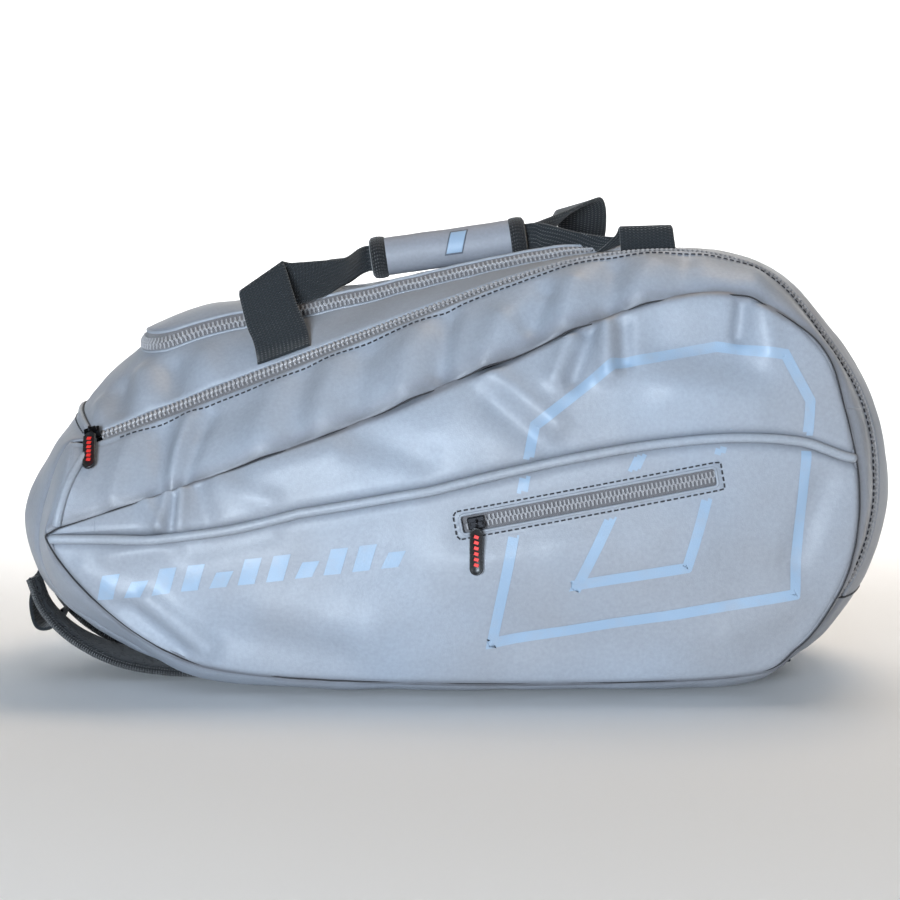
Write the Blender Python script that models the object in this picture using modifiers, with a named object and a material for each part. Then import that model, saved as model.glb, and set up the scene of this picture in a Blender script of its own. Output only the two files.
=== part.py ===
"""A padel racket bag standing on its shoulder straps.

Metres, +Z up. X runs along the bag with the narrow end at -X, Y across it with the near side
at -Y. The origin is under the middle of the bag, on the surface that it stands on.
The bag is a fabric shell: each sewn panel is a patch of one continuous skin.
"""
import math

import bmesh
import bpy
from mathutils import Matrix, Vector

# ------------------------------------------------------------------ driving dimensions
FABRIC = 0.003            # padded artificial leather
TAPE = 0.0015             # zip tape with its teeth
GAP = 0.0004              # half of the gap between two neighbouring panels
SEAM_STEP = 0.008         # the same gap along the girth, in stations

ZIP_Y = 0.088             # middle of each racket zip, from the centre plane
SEAM_Y = 0.130            # seam between the gusset and the side panel
SIDE_RISE = 0.015         # how far a side panel swells past its seam
CROWN_POWER = 2.2         # how flat the crown stays before it falls to the racket zips

ZIP_RISE = math.radians(21.0)     # slope of the racket zips along the narrow half
ZIP_START = (-0.241, 0.171)       # X and Z of the racket zips' lower end
ZIP_HALF = 0.0036         # width of one half of a racket zip

LID_START = 2.30          # station of each lid's narrow end
LID_END = 14.05           # station where the lid's hinge line meets the seam at the wide end
ZIP_END = 17.0            # station where the racket zips stop
CROWN_START = 2.0
BACK_START = 17.0
BACK_END = 22.6

HINGE_Y = 0.146           # lid hinge, just outside the side panel
HINGE_LEFT = (-0.263, 0.115)
HINGE_SLOPE = 0.153

FLAP_LEFT = -0.212
FLAP_HINGE_X = 0.122
FLAP_HALF = 0.0430        # half width of the flap's leather
FLAP_ZIP = 0.0026         # width of each half of the flap's zip
FLAP_SLIDER_X = 0.0350
FLAP_SLIDER_TRAVEL = 0.100

POCKET_SLOPE = math.radians(10.7)
POCKET_CENTRE = (0.0845, 0.1340)
POCKET_LENGTH = 0.166
POCKET_ZIP = 0.0080
POUCH_ROOM = 0.016        # depth of the pocket behind a lower panel
POUCH_HEIGHT = 0.080
POUCH_LIP = 0.012         # how far the pouch reaches past its zip, above it and at its ends
POUCH_CLOTH = 0.0015

DIVIDER_Y = 0.052         # padded walls between the centre and the racket compartments
DIVIDER_CLEAR = 0.010     # how far a wall keeps from the skin
BOARD = 0.003             # thickness of the walls and of the stiffener
STIFFENER_HALF = (0.165, 0.040)
STIFFENER_AT = (0.020, 0.0, 0.0190)

CORD_RADIUS = 0.0032      # piping under the lids
CORD_CLEAR = 0.0009

SLIDER_SIZE = (0.0110, 0.0082, 0.0032)
SLIDER_RISE = 0.0015      # clearance between a slider and the teeth under it
SLIDER_LEAN = math.radians(46)    # lean of the racket zips' sliders away from the centre plane
BAIL_HALF = 0.0042
BAIL_BAR = 0.0008         # half height of the bar that carries the puller
BAIL_WIDTH = 0.0020
EYE_OUTER = 0.0027        # ring of the puller, round the bail's bar
EYE_HOLE = 0.0017
EYE_WIDTH = 0.0030
PULLER_HALF = 0.0043
PULLER_NECK = (0.0021, 0.0015)    # where the tab leaves the eye: distance and half width
PULLER_SHOULDER = 0.0055          # where the tab reaches its full width
PULLER_LENGTH = 0.0290            # from the bar to the centre of the round end
PULLER_THICK = 0.0020

WRAP_MIDDLE = Vector((-0.005, -0.020, 0.2980))
WRAP_TILT = math.radians(8.0)
WRAP_LENGTH = 0.106
WRAP_HALF = (0.0115, 0.0130)      # half width and half height of the sleeve
WRAP_MOUTH = (math.radians(62), math.radians(282))    # where the sleeve starts and stops round it
BINDING = 0.0070                  # length of the bound end
BINDING_GROWTH = 0.0005
BINDING_THICK = 0.0035

HANDLE_ANCHOR_Y = 0.0800
HANDLE_LEFT_X = -0.118
NEAR_RIGHT_X = 0.131
FAR_RIGHT_X = 0.090
WEBBING_HALF = 0.018
FOLDED_HALF = 0.0080      # half width of a carrying strap folded inside the wrap
STRAP_APART = 0.0028      # distance of each folded strap from the wrap's middle
WEBBING = 0.0022

STRAP_Y = 0.030
STRAP_HALF = 0.027
STRAP_THICK = 0.009
STRAP_END = 0.1000        # where the padding stops and the ladder lock begins
LOCK_HALF = (0.0120, 0.0175)
LOCK_SLOT = (0.0022, 0.0135)
LOCK_SLOTS_X = (-0.0062, 0.0050)
LOCK_THICK = 0.0034
LOCK_HEIGHT = 0.0045
AFTER_LOCK = STRAP_END + 2 * LOCK_HALF[0] + 0.0040
STRIP_HALF = 0.0125       # half width of the adjusting webbing
TAIL_HEIGHT = 0.0022
TAIL_END = 0.1930

PANEL_CENTRE = Vector((0.010, 0.134))     # X and Z that the side panels swell round
CORE = Vector((0.0, 0.0, 0.134))          # a point inside the bag: every panel faces away from it
FLAP_PATCH_END = 9.6      # station past the flap's hinge
FLAP_PATCH_HALF = 0.052   # a little wider than the flap's opening
FLAP_CUT_HEIGHT = 0.244
FLAP_CUT_DEPTH = 0.30

# Girth stations, in millimetres, round the bag from the tip of the narrow end, over the top,
# round the wide end and back under it: X and Z on the centre plane, at the racket zip and at
# the side seam.
STATIONS = (
    (-302, 112, -280, 111, -266, 106),
    (-284, 156, -262, 163, -262, 113),
    (-262, 188, -241, 171, -243, 120),
    (-234, 220, -200, 186.7, -204, 133),
    (-190, 246, -150, 205.9, -155, 150),
    (-100, 262, -100, 225.1, -105, 168),
    (-50, 271, -50, 244.3, -50, 189),
    (0, 280, 0, 263.5, 0, 211),
    (35, 287, 35, 276, 35, 224),
    (90, 294, 85, 290, 80, 245),
    (140, 298, 135, 295, 130, 262),
    (186, 295, 178, 291, 172, 267),
    (226, 280, 214, 275, 207, 255),
    (264, 240, 248, 235, 237, 230),
    (289, 199, 272, 194, 251, 195),
    (302, 152, 281, 149, 261, 149),
    (301, 108, 277, 104, 260, 104),
    (286, 64, 258, 62, 247, 68),
    (250, 22, 226, 24, 222, 34),
    (205, 12, 190, 7, 188, 17),
    (60, 12, 60, 5.5, 60, 11),
    (-70, 12, -70, 5.5, -70, 13),
    (-165, 12, -160, 8, -160, 22),
    (-232, 21, -214, 28, -209, 44),
    (-284, 60, -268, 68, -246, 78),
)

# X and Z of the piping, from the narrow tip to the wide end, in metres.
CREST = ((-0.256, 0.1075), (-0.225, 0.1095), (-0.189, 0.1095), (-0.144, 0.115), (-0.100, 0.126),
         (-0.017, 0.140), (0.037, 0.153), (0.090, 0.164), (0.136, 0.171), (0.180, 0.174),
         (0.222, 0.171), (0.250, 0.162))

# A shoulder strap from the narrow end to its lock: X, Z and the share of its full width.
SHOULDER_STOPS = (
    (-0.2960, 0.0680, 0.40), (-0.2870, 0.0460, 0.45), (-0.2660, 0.0260, 0.62), (-0.2350, 0.0120, 0.95),
    (-0.2000, 0.0055, 1.0), (-0.1600, 0.0045, 1.0), (-0.1300, 0.0045, 1.0), (-0.1000, 0.0045, 1.0),
    (0.0100, 0.0045, 0.95), (STRAP_END, 0.0045, 0.55))

# The adjusting webbing from the lock to the wide end, and the hanging loop: X and Z.
STRIP_STOPS = ((AFTER_LOCK, 0.0072), (0.1750, 0.0056), (0.2080, 0.0065), (0.2330, 0.0115))
LOOP_STOPS = ((-0.2945, 0.0720), (-0.2990, 0.0620), (-0.3020, 0.0460), (-0.2980, 0.0300),
              (-0.2870, 0.0300), (-0.2800, 0.0420))
LOOP_HALF = 0.0150

# Where each carrying strap humps over after the wrap: middle and half width vector.
NEAR_HUMP = (((0.078, -0.0260, 0.3100), (0.004, -0.003, 0.0110)),
             ((0.120, -0.0480, 0.3120), (0.0151, -0.004, 0.004)))
FAR_HUMP = (((0.074, 0.0080, 0.3220), (0.010, 0.002, 0.0100)),
            ((0.088, 0.0480, 0.3270), (0.0166, 0.002, -0.002)))

GREY = (0.330, 0.330, 0.345)
TAPE_GREY = (0.230, 0.240, 0.255)
BLACK = (0.022, 0.023, 0.026)
LINING = (0.060, 0.062, 0.068)
METAL = (0.050, 0.050, 0.055)


# ------------------------------------------------------------------ scene and materials
def empty_scene():
    for item in list(bpy.data.objects):
        bpy.data.objects.remove(item, do_unlink=True)
    for name in ("paddle_case", "cutters"):
        group = bpy.data.collections.new(name)
        bpy.context.scene.collection.children.link(group)


def material(name, colour, roughness, metallic=0.0):
    found = bpy.data.materials.get(name)
    if found:
        return found
    made = bpy.data.materials.new(name)
    made.use_nodes = True
    shader = made.node_tree.nodes["Principled BSDF"]
    shader.inputs["Base Color"].default_value = (*colour, 1.0)
    shader.inputs["Roughness"].default_value = roughness
    shader.inputs["Metallic"].default_value = metallic
    return made


def finish_of(kind):
    table = {
        "leather": (GREY, 0.55, 0.0),
        "tape": (TAPE_GREY, 0.75, 0.0),
        "webbing": (BLACK, 0.80, 0.0),
        "lining": (LINING, 0.85, 0.0),
        "slider": (METAL, 0.40, 0.6),
        "plastic": (BLACK, 0.45, 0.0),
    }
    return table[kind]


def place(item, kind, parent=None):
    """Puts a sub-part in the bag's collection with its own material."""
    for group in list(item.users_collection):
        group.objects.unlink(item)
    bpy.data.collections["paddle_case"].objects.link(item)
    colour, roughness, metallic = finish_of(kind)
    item.data.materials.clear()
    item.data.materials.append(material("mat_" + item.name, colour, roughness, metallic))
    if parent:
        item.parent = parent
        item.matrix_parent_inverse = parent.matrix_world.inverted()
    return item


def joint_empty(name, point, parent=None):
    """An empty on a joint's axis: the pieces that move with the joint hang from it."""
    empty = bpy.data.objects.new(name, None)
    bpy.data.collections["paddle_case"].objects.link(empty)
    empty.location = point
    bpy.context.view_layer.update()
    if parent:
        empty.parent = parent
        empty.matrix_parent_inverse = parent.matrix_world.inverted()
        bpy.context.view_layer.update()
    return empty


# ------------------------------------------------------------------ the skin
def curve_value(values, t):
    """A closed Catmull-Rom curve through values, one unit of t from each to the next."""
    count = len(values)
    first = math.floor(t)
    u = t - first
    a, b, c, d = (values[(first + k) % count] for k in (-1, 0, 1, 2))
    return 0.5 * (2 * b + (c - a) * u + (2 * a - 5 * b + 4 * c - d) * u ** 2
                  + (3 * b - a - 3 * c + d) * u ** 3)


def rails(t):
    """Centre line, zip line and seam line at station t, as X and Z."""
    mm = 0.001
    row = [mm * curve_value([station[k] for station in STATIONS], t) for k in range(6)]
    return (Vector((row[0], row[1])), Vector((row[2], row[3])), Vector((row[4], row[5])))


def skin(t, y):
    """The outer surface between the two side seams, at station t and width y."""
    centre, at_zip, at_seam = rails(t)
    wide = abs(y)
    if wide <= ZIP_Y:
        flat = centre + (at_zip - centre) * (wide / ZIP_Y) ** CROWN_POWER
    else:
        span = SEAM_Y - ZIP_Y
        u = (wide - ZIP_Y) / span
        slope = (at_zip - centre) * (CROWN_POWER * span / ZIP_Y)
        flat = at_zip + slope * u + (at_seam - at_zip - slope) * u * u
    return Vector((flat.x, y, flat.y))


def seam_loop():
    """Angle and radius of the side seam seen from the side panel's centre."""
    steps_a_station = 8
    loop = []
    for k in range(len(STATIONS) * steps_a_station):
        seam = rails(k / steps_a_station)[2] - PANEL_CENTRE
        loop.append((math.atan2(seam.y, seam.x), seam.length))
    return sorted(loop)


def panel_depth(x, z):
    """Distance of a side panel's outer face from the centre plane."""
    away = Vector((x, z)) - PANEL_CENTRE
    angle = math.atan2(away.y, away.x)
    before = SEAM_LOOP[-1]
    edge = SEAM_LOOP[0][1]
    for here in SEAM_LOOP:
        if here[0] >= angle:
            span = (here[0] - before[0]) % math.tau
            part = ((angle - before[0]) % math.tau) / span if span else 0.0
            edge = before[1] + (here[1] - before[1]) * part
            break
        before = here
    near_edge = min(away.length / edge, 1.0)
    return SEAM_Y + SIDE_RISE * (1.0 - near_edge ** 3)


def hinge_height(x):
    return HINGE_LEFT[1] + HINGE_SLOPE * (x - HINGE_LEFT[0])


def zip_point(x, side):
    """A point on the straight stretch of a racket zip."""
    return Vector((x, side * ZIP_Y, ZIP_START[1] + math.tan(ZIP_RISE) * (x - ZIP_START[0])))


def top_point(x, y, rise=0.0):
    """A point on the crown above X and Y, rise above the skin."""
    low, high = 3.0, 13.0
    for _ in range(30):
        middle = (low + high) / 2
        if skin(middle, y).x < x:
            low = middle
        else:
            high = middle
    return skin(low, y) + Vector((0, 0, rise))


SEAM_LOOP = seam_loop()


# ------------------------------------------------------------------ builders
def sheet(name, surface, across, along, thickness, kind, parent=None, inside=CORE, offset=-1.0):
    """A closed panel: a grid laid on surface(u, v), thickened away from its outer side."""
    mesh = bpy.data.meshes.new(name)
    grid = bmesh.new()
    bmesh.ops.create_grid(grid, x_segments=across, y_segments=along, size=0.5)
    for vert in grid.verts:
        vert.co = surface(vert.co.x + 0.5, vert.co.y + 0.5)
    grid.normal_update()
    if inside is not None:
        facing = sum(f.calc_area() * f.normal.dot(f.calc_center_median() - inside) for f in grid.faces)
        if facing < 0:
            bmesh.ops.reverse_faces(grid, faces=grid.faces)
    grid.to_mesh(mesh)
    grid.free()
    item = bpy.data.objects.new(name, mesh)
    place(item, kind, parent)
    solid = item.modifiers.new("thickness", "SOLIDIFY")
    solid.thickness = thickness
    solid.offset = offset
    return item


def skin_patch(name, t_from, t_to, y_from, y_to, across, along, thickness, kind, parent=None):
    def surface(u, v):
        return skin(t_from + (t_to - t_from) * u, y_from + (y_to - y_from) * v)
    return sheet(name, surface, across, along, thickness, kind, parent)


def smooth_path(points, steps):
    """A Catmull-Rom curve through the given points, open at both ends."""
    padded = [points[0] * 2 - points[1]] + list(points) + [points[-1] * 2 - points[-2]]
    path = []
    for k in range(1, len(padded) - 2):
        a, b, c, d = padded[k - 1:k + 3]
        for step in range(steps):
            u = step / steps
            path.append(0.5 * (2 * b + (c - a) * u + (2 * a - 5 * b + 4 * c - d) * u ** 2
                               + (3 * b - a - 3 * c + d) * u ** 3))
    path.append(points[-1].copy())
    return path


def ribbon(name, stops, thickness, kind, parent=None, steps=3):
    """A strap lying on the ground or above it. A stop is its middle and its half width."""
    middles = smooth_path([Vector(stop[0]) for stop in stops], steps)
    for middle in middles:
        middle.z = max(middle.z, thickness / 2)
    sides = smooth_path([Vector(stop[1]) for stop in stops], steps)
    last = len(middles) - 1

    def surface(u, v):
        k = round(u * last)
        return middles[k] + sides[k] * (2 * v - 1)
    return sheet(name, surface, last, 1, thickness, kind, parent, inside=None, offset=0.0)


def tube(name, points, radius, kind, parent=None, steps=3):
    """A round cord along a smooth curve, as a curve object with a bevel and filled caps."""
    data = bpy.data.curves.new(name, "CURVE")
    data.dimensions = "3D"
    data.bevel_depth = radius
    data.bevel_resolution = 1
    data.use_fill_caps = True
    data.render_resolution_u = 0
    path = smooth_path(points, steps)
    spline = data.splines.new("POLY")
    spline.points.add(len(path) - 1)
    for point, at in zip(spline.points, path):
        point.co = (*at, 1.0)
    item = bpy.data.objects.new(name, data)
    place(item, kind, parent)
    return item


def outline_plate(name, loops, thickness):
    """A flat plate in the local XY plane from 2D loops; the inner loops are holes."""
    data = bpy.data.curves.new(name, "CURVE")
    data.dimensions = "2D"
    data.fill_mode = "BOTH"
    data.extrude = thickness / 2
    data.render_resolution_u = 0
    for loop in loops:
        spline = data.splines.new("POLY")
        spline.points.add(len(loop) - 1)
        spline.use_cyclic_u = True
        for point, (x, y) in zip(spline.points, loop):
            point.co = (x, y, 0.0, 1.0)
    return bpy.data.objects.new(name, data)


def as_mesh(curve_item, matrix):
    """Turns a curve object into a welded mesh object of the same name."""
    bpy.context.scene.collection.objects.link(curve_item)
    bpy.context.view_layer.update()
    graph = bpy.context.evaluated_depsgraph_get()
    mesh = bpy.data.meshes.new_from_object(curve_item.evaluated_get(graph))
    name = curve_item.name
    bpy.data.objects.remove(curve_item, do_unlink=True)
    welded = bmesh.new()
    welded.from_mesh(mesh)
    bmesh.ops.remove_doubles(welded, verts=welded.verts, dist=0.00001)
    bmesh.ops.recalc_face_normals(welded, faces=welded.faces)
    welded.to_mesh(mesh)
    welded.free()
    mesh.name = name
    mesh.transform(matrix)
    return bpy.data.objects.new(name, mesh)


def round_rect(half_x, half_y, radius, steps=3, centre=(0.0, 0.0)):
    loop = []
    for quarter, (sx, sy) in enumerate(((1, 1), (-1, 1), (-1, -1), (1, -1))):
        for k in range(steps + 1):
            angle = math.pi / 2 * (quarter + k / steps)
            loop.append((centre[0] + sx * (half_x - radius) + radius * math.cos(angle),
                         centre[1] + sy * (half_y - radius) + radius * math.sin(angle)))
    return loop


def as_cutter(item):
    bpy.data.collections["cutters"].objects.link(item)
    item.hide_render = True
    item.display_type = "WIRE"
    return item


def combine(item, other, operation):
    cut = item.modifiers.new(operation.lower(), "BOOLEAN")
    cut.operation = operation
    cut.object = other
    cut.solver = "EXACT"


def box(name, size, matrix, bevel=0.0):
    """A box with its faces along the axes of matrix, its edges rounded by bevel."""
    mesh = bpy.data.meshes.new(name)
    cube = bmesh.new()
    bmesh.ops.create_cube(cube, size=1.0, matrix=Matrix.Diagonal((*size, 1.0)))
    cube.to_mesh(mesh)
    cube.free()
    item = bpy.data.objects.new(name, mesh)
    item.matrix_world = matrix
    if bevel:
        round_edges = item.modifiers.new("edges", "BEVEL")
        round_edges.width = bevel
        round_edges.segments = 2
    return item


# ------------------------------------------------------------------ shell of the bag
def slot_prism(name, half_width, left, right):
    """An upright prism with the flap's outline: square at its hinge, round at its free end."""
    corner = half_width * 0.62
    steps = 6
    loop = [(right, -half_width), (right, half_width)]
    for quarter, middle in ((1, half_width - corner), (2, corner - half_width)):
        for k in range(steps + 1):
            angle = math.pi / 2 * (quarter + k / steps)
            loop.append((left + corner + corner * math.cos(angle), middle + corner * math.sin(angle)))
    upright = Matrix.Translation((0, 0, FLAP_CUT_HEIGHT))
    return as_cutter(as_mesh(outline_plate(name, [loop], FLAP_CUT_DEPTH), upright))


def crown_and_flap():
    beyond = 0.02
    hole_half = FLAP_HALF + 2 * FLAP_ZIP + 3 * GAP
    fixed_outer = hole_half - 2 * GAP
    fixed_inner = fixed_outer - FLAP_ZIP
    moving_outer = fixed_inner - 2 * GAP
    moving_inner = moving_outer - FLAP_ZIP

    def left_of(half_width):
        return FLAP_LEFT - (half_width - FLAP_HALF)

    hole = slot_prism("cut_flap_hole", hole_half, left_of(hole_half), FLAP_HINGE_X)
    ring_out = slot_prism("cut_fixed_outer", fixed_outer, left_of(fixed_outer), FLAP_HINGE_X - 2 * GAP)
    ring_in = slot_prism("cut_fixed_inner", fixed_inner, left_of(fixed_inner), FLAP_HINGE_X + beyond)
    lid_out = slot_prism("cut_moving_outer", moving_outer, left_of(moving_outer), FLAP_HINGE_X - 4 * GAP)
    lid_in = slot_prism("cut_moving_inner", moving_inner, left_of(moving_inner), FLAP_HINGE_X + beyond)
    leather = slot_prism("cut_flap", moving_inner - 2 * GAP, left_of(moving_inner - 2 * GAP),
                         FLAP_HINGE_X - 4 * GAP)

    edge = ZIP_Y - ZIP_HALF - GAP
    crown = skin_patch("crown_panel", CROWN_START + SEAM_STEP, ZIP_END - SEAM_STEP, -edge, edge,
                       26, 8, FABRIC, "leather")
    combine(crown, hole, "DIFFERENCE")

    hinge = joint_empty("flap_axis", top_point(FLAP_HINGE_X, 0.0, 0.0006))

    def patch(name, across, along, thickness, kind, parent=None):
        return skin_patch(name, CROWN_START + 0.3, FLAP_PATCH_END, -FLAP_PATCH_HALF, FLAP_PATCH_HALF,
                          across, along, thickness, kind, parent)

    strip = patch("flap_zip_fixed_half", 18, 6, TAPE, "tape")
    combine(strip, ring_out, "INTERSECT")
    combine(strip, ring_in, "DIFFERENCE")
    moving = patch("flap_zip_moving_half", 18, 6, TAPE, "tape", hinge)
    combine(moving, lid_out, "INTERSECT")
    combine(moving, lid_in, "DIFFERENCE")
    flap = patch("flap_panel", 16, 5, FABRIC, "leather", hinge)
    combine(flap, leather, "INTERSECT")


def end_and_back_panels():
    edge = ZIP_Y - GAP
    narrow_end = len(STATIONS) + CROWN_START
    skin_patch("back_panel", BACK_START + SEAM_STEP, BACK_END - SEAM_STEP, -edge, edge,
               10, 6, FABRIC, "leather")
    skin_patch("left_end_panel", BACK_END + SEAM_STEP, narrow_end - SEAM_STEP, -edge, edge,
               10, 6, FABRIC, "leather")
    outline = round_rect(*STIFFENER_HALF, 0.020)
    plate = as_mesh(outline_plate("back_stiffener", [outline], BOARD), Matrix.Translation(STIFFENER_AT))
    place(plate, "lining")


def divider(side, name):
    """A padded wall between the centre pocket and a racket compartment."""
    loop = []
    for k in range(len(STATIONS)):
        here = skin(k, DIVIDER_Y)
        out = Vector((here.x, here.z)) - PANEL_CENTRE
        out *= 1.0 - DIVIDER_CLEAR / out.length
        loop.append(tuple(out + PANEL_CENTRE))
    upright = Matrix.Translation((0, side * DIVIDER_Y, 0)) @ Matrix.Rotation(math.pi / 2, 4, "X")
    place(as_mesh(outline_plate(name + "_divider", [loop], BOARD), upright), "lining")


def side_shell(side, name, lid):
    """Gussets, zip halves and side panels of one side."""
    count = len(STATIONS)
    out = SEAM_Y - FABRIC - 2 * GAP
    inner_zip = ZIP_Y - ZIP_HALF
    outer_zip = ZIP_Y + 2 * GAP + ZIP_HALF
    skin_patch(name + "_zip_fixed_half", CROWN_START + SEAM_STEP, ZIP_END - SEAM_STEP,
               side * inner_zip, side * ZIP_Y, 26, 1, TAPE, "tape")
    skin_patch(name + "_zip_moving_half", LID_START + SEAM_STEP, LID_END - SEAM_STEP,
               side * (ZIP_Y + 2 * GAP), side * outer_zip, 22, 1, TAPE, "tape", lid)
    skin_patch(name + "_upper_gusset", LID_START + SEAM_STEP, LID_END - SEAM_STEP,
               side * (outer_zip + 2 * GAP), side * out, 22, 3, FABRIC, "leather", lid)
    skin_patch(name + "_base_gusset", LID_END + SEAM_STEP, count + LID_START - SEAM_STEP,
               side * (ZIP_Y + 2 * GAP), side * out, 24, 3, FABRIC, "leather")

    def on_panel(x, z):
        return Vector((x, side * panel_depth(x, z), z))

    def upper(u, v):
        first = LID_START + 2 * SEAM_STEP
        seam = rails(first + (LID_END - 2 * SEAM_STEP - first) * u)[2]
        x = seam.x
        low = hinge_height(x) + 3 * GAP
        return on_panel(x, low + (seam.y - low) * v)

    def lower(u, v):
        seam = rails(LID_END + (count + LID_START - LID_END) * u)[2]
        first = rails(LID_END)[2].x
        last = rails(LID_START)[2].x
        x_top = first + (last - first) * u
        top = Vector((x_top, hinge_height(x_top) - 3 * GAP))
        foot = Vector((seam.x, seam.y))
        here = top + (foot - top) * v
        return on_panel(here.x, here.y)

    sheet(name + "_upper_panel", upper, 20, 4, FABRIC, "leather", lid)
    panel = sheet(name + "_lower_panel", lower, 24, 6, FABRIC, "leather")
    slope = pocket_matrix(side)
    cutter = box("cut_" + name + "_pocket", (POCKET_LENGTH, POCKET_ZIP + 4 * GAP, 0.040), slope)
    combine(panel, as_cutter(cutter), "DIFFERENCE")


def pocket_matrix(side):
    """Middle of a pocket's zip: local X along it, local Z out of the bag."""
    x, z = POCKET_CENTRE
    at = Vector((x, side * panel_depth(x, z), z))
    along = Vector((math.cos(POCKET_SLOPE), 0.0, math.sin(POCKET_SLOPE)))
    out = Vector((0.0, float(side), 0.0))
    return Matrix((
        (along.x, out.cross(along).x, out.x, at.x),
        (along.y, out.cross(along).y, out.y, at.y),
        (along.z, out.cross(along).z, out.z, at.z),
        (0, 0, 0, 1)))


def pocket(side, name):
    slope = pocket_matrix(side)
    sunk = slope @ Matrix.Translation((0, 0, -TAPE))
    strip = box(name + "_pocket_zip", (POCKET_LENGTH - 4 * GAP, POCKET_ZIP, TAPE), sunk)
    place(strip, "tape")
    width = POCKET_LENGTH + POUCH_LIP
    wall = SEAM_Y + SIDE_RISE - FABRIC - 0.010
    tray = bpy.data.meshes.new(name + "_pocket_pouch")
    open_box = bmesh.new()
    bmesh.ops.create_cube(open_box, size=1.0, matrix=Matrix.Diagonal((width, POUCH_ROOM, POUCH_HEIGHT, 1.0)))
    mouth = [f for f in open_box.faces if f.normal.y * side > 0.5]
    bmesh.ops.delete(open_box, geom=mouth, context="FACES_ONLY")
    open_box.to_mesh(tray)
    open_box.free()
    item = bpy.data.objects.new(name + "_pocket_pouch", tray)
    item.location = (POCKET_CENTRE[0], side * (wall - POUCH_ROOM / 2),
                     POCKET_CENTRE[1] - POUCH_HEIGHT / 2 + POUCH_LIP)
    item.rotation_euler = (0, -POCKET_SLOPE, 0)
    place(item, "lining")
    cloth = item.modifiers.new("thickness", "SOLIDIFY")
    cloth.thickness = POUCH_CLOTH
    cloth.offset = -1.0


def piping(side, name):
    """The corded seam below the lid's hinge, from tip to tip of the side panel."""
    lift = CORD_RADIUS + CORD_CLEAR
    points = [Vector((x, side * (panel_depth(x, z) + lift), z)) for x, z in CREST]
    tube(name + "_piping", points, CORD_RADIUS, "leather")


# ------------------------------------------------------------------ zip sliders
def basis(along, out, at):
    """Local X along, local Z out of the surface."""
    z = out.normalized()
    x = (along - z * along.dot(z)).normalized()
    y = z.cross(x)
    return Matrix(((x.x, y.x, z.x, at.x), (x.y, y.y, z.y, at.y), (x.z, y.z, z.z, at.z), (0, 0, 0, 1)))


BAR_RISE = SLIDER_RISE + SLIDER_SIZE[2] + EYE_OUTER + 0.0003      # height of the bail's bar


def round_loop(radius, steps, centre=0.0):
    return [(centre + radius * math.cos(math.tau * k / steps), radius * math.sin(math.tau * k / steps))
            for k in range(steps)]


def slider(name, frame):
    """Slider body with its bail. Local X runs along the zip, local Z out of it."""
    carriage = joint_empty(name + "_carriage", frame.translation)
    middle = Matrix.Translation((0, 0, SLIDER_RISE + SLIDER_SIZE[2] / 2))
    body = box(name, SLIDER_SIZE, frame @ middle, 0.0008)
    foot = -EYE_OUTER - 0.0010
    gap_low = -EYE_OUTER - 0.0002
    outer = round_rect(BAIL_HALF, (BAIL_BAR - foot) / 2, 0.0008, 2, (0.0, (BAIL_BAR + foot) / 2))
    window = round_rect(0.0025, (-BAIL_BAR - gap_low) / 2, 0.0002, 1, (0.0, (gap_low - BAIL_BAR) / 2))
    upright = Matrix.Rotation(math.pi / 2, 4, "X")
    shape = outline_plate("cut_" + name + "_bail", [outer, window], BAIL_WIDTH)
    bail = as_mesh(shape, frame @ Matrix.Translation((0, 0, BAR_RISE)) @ upright)
    place(body, "slider", carriage)
    combine(body, as_cutter(bail), "UNION")
    return carriage


def puller(name, frame, tip, carriage):
    """Pull tab with an eye round the bail's bar. It hangs from the bar towards tip."""
    pivot = frame @ Vector((0, 0, BAR_RISE))
    down = (tip - pivot).normalized()
    across = down.cross(frame.to_3x3() @ Vector((0, 0, 1))).normalized()
    out = across.cross(down)
    turn = Matrix(((down.x, across.x, out.x, pivot.x), (down.y, across.y, out.y, pivot.y),
                   (down.z, across.z, out.z, pivot.z), (0, 0, 0, 1)))
    sides = 10
    rings = [round_loop(EYE_OUTER, sides), round_loop(EYE_HOLE, sides)]
    eye = as_mesh(outline_plate("cut_" + name + "_eye", rings, EYE_WIDTH),
                  turn @ Matrix.Rotation(math.pi / 2, 4, "X"))
    neck, neck_half = PULLER_NECK
    steps = 4
    loop = [(neck, -neck_half), (PULLER_SHOULDER, -PULLER_HALF)]
    for k in range(steps + 1):
        angle = math.pi * (k / steps - 0.5)
        loop.append((PULLER_LENGTH + PULLER_HALF * math.cos(angle), PULLER_HALF * math.sin(angle)))
    loop += [(PULLER_SHOULDER, PULLER_HALF), (neck, neck_half)]
    tab = as_mesh(outline_plate(name, [loop], PULLER_THICK), turn)
    axis = joint_empty(name + "_axis", pivot, carriage)
    place(tab, "plastic", axis)
    combine(tab, as_cutter(eye), "UNION")


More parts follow.
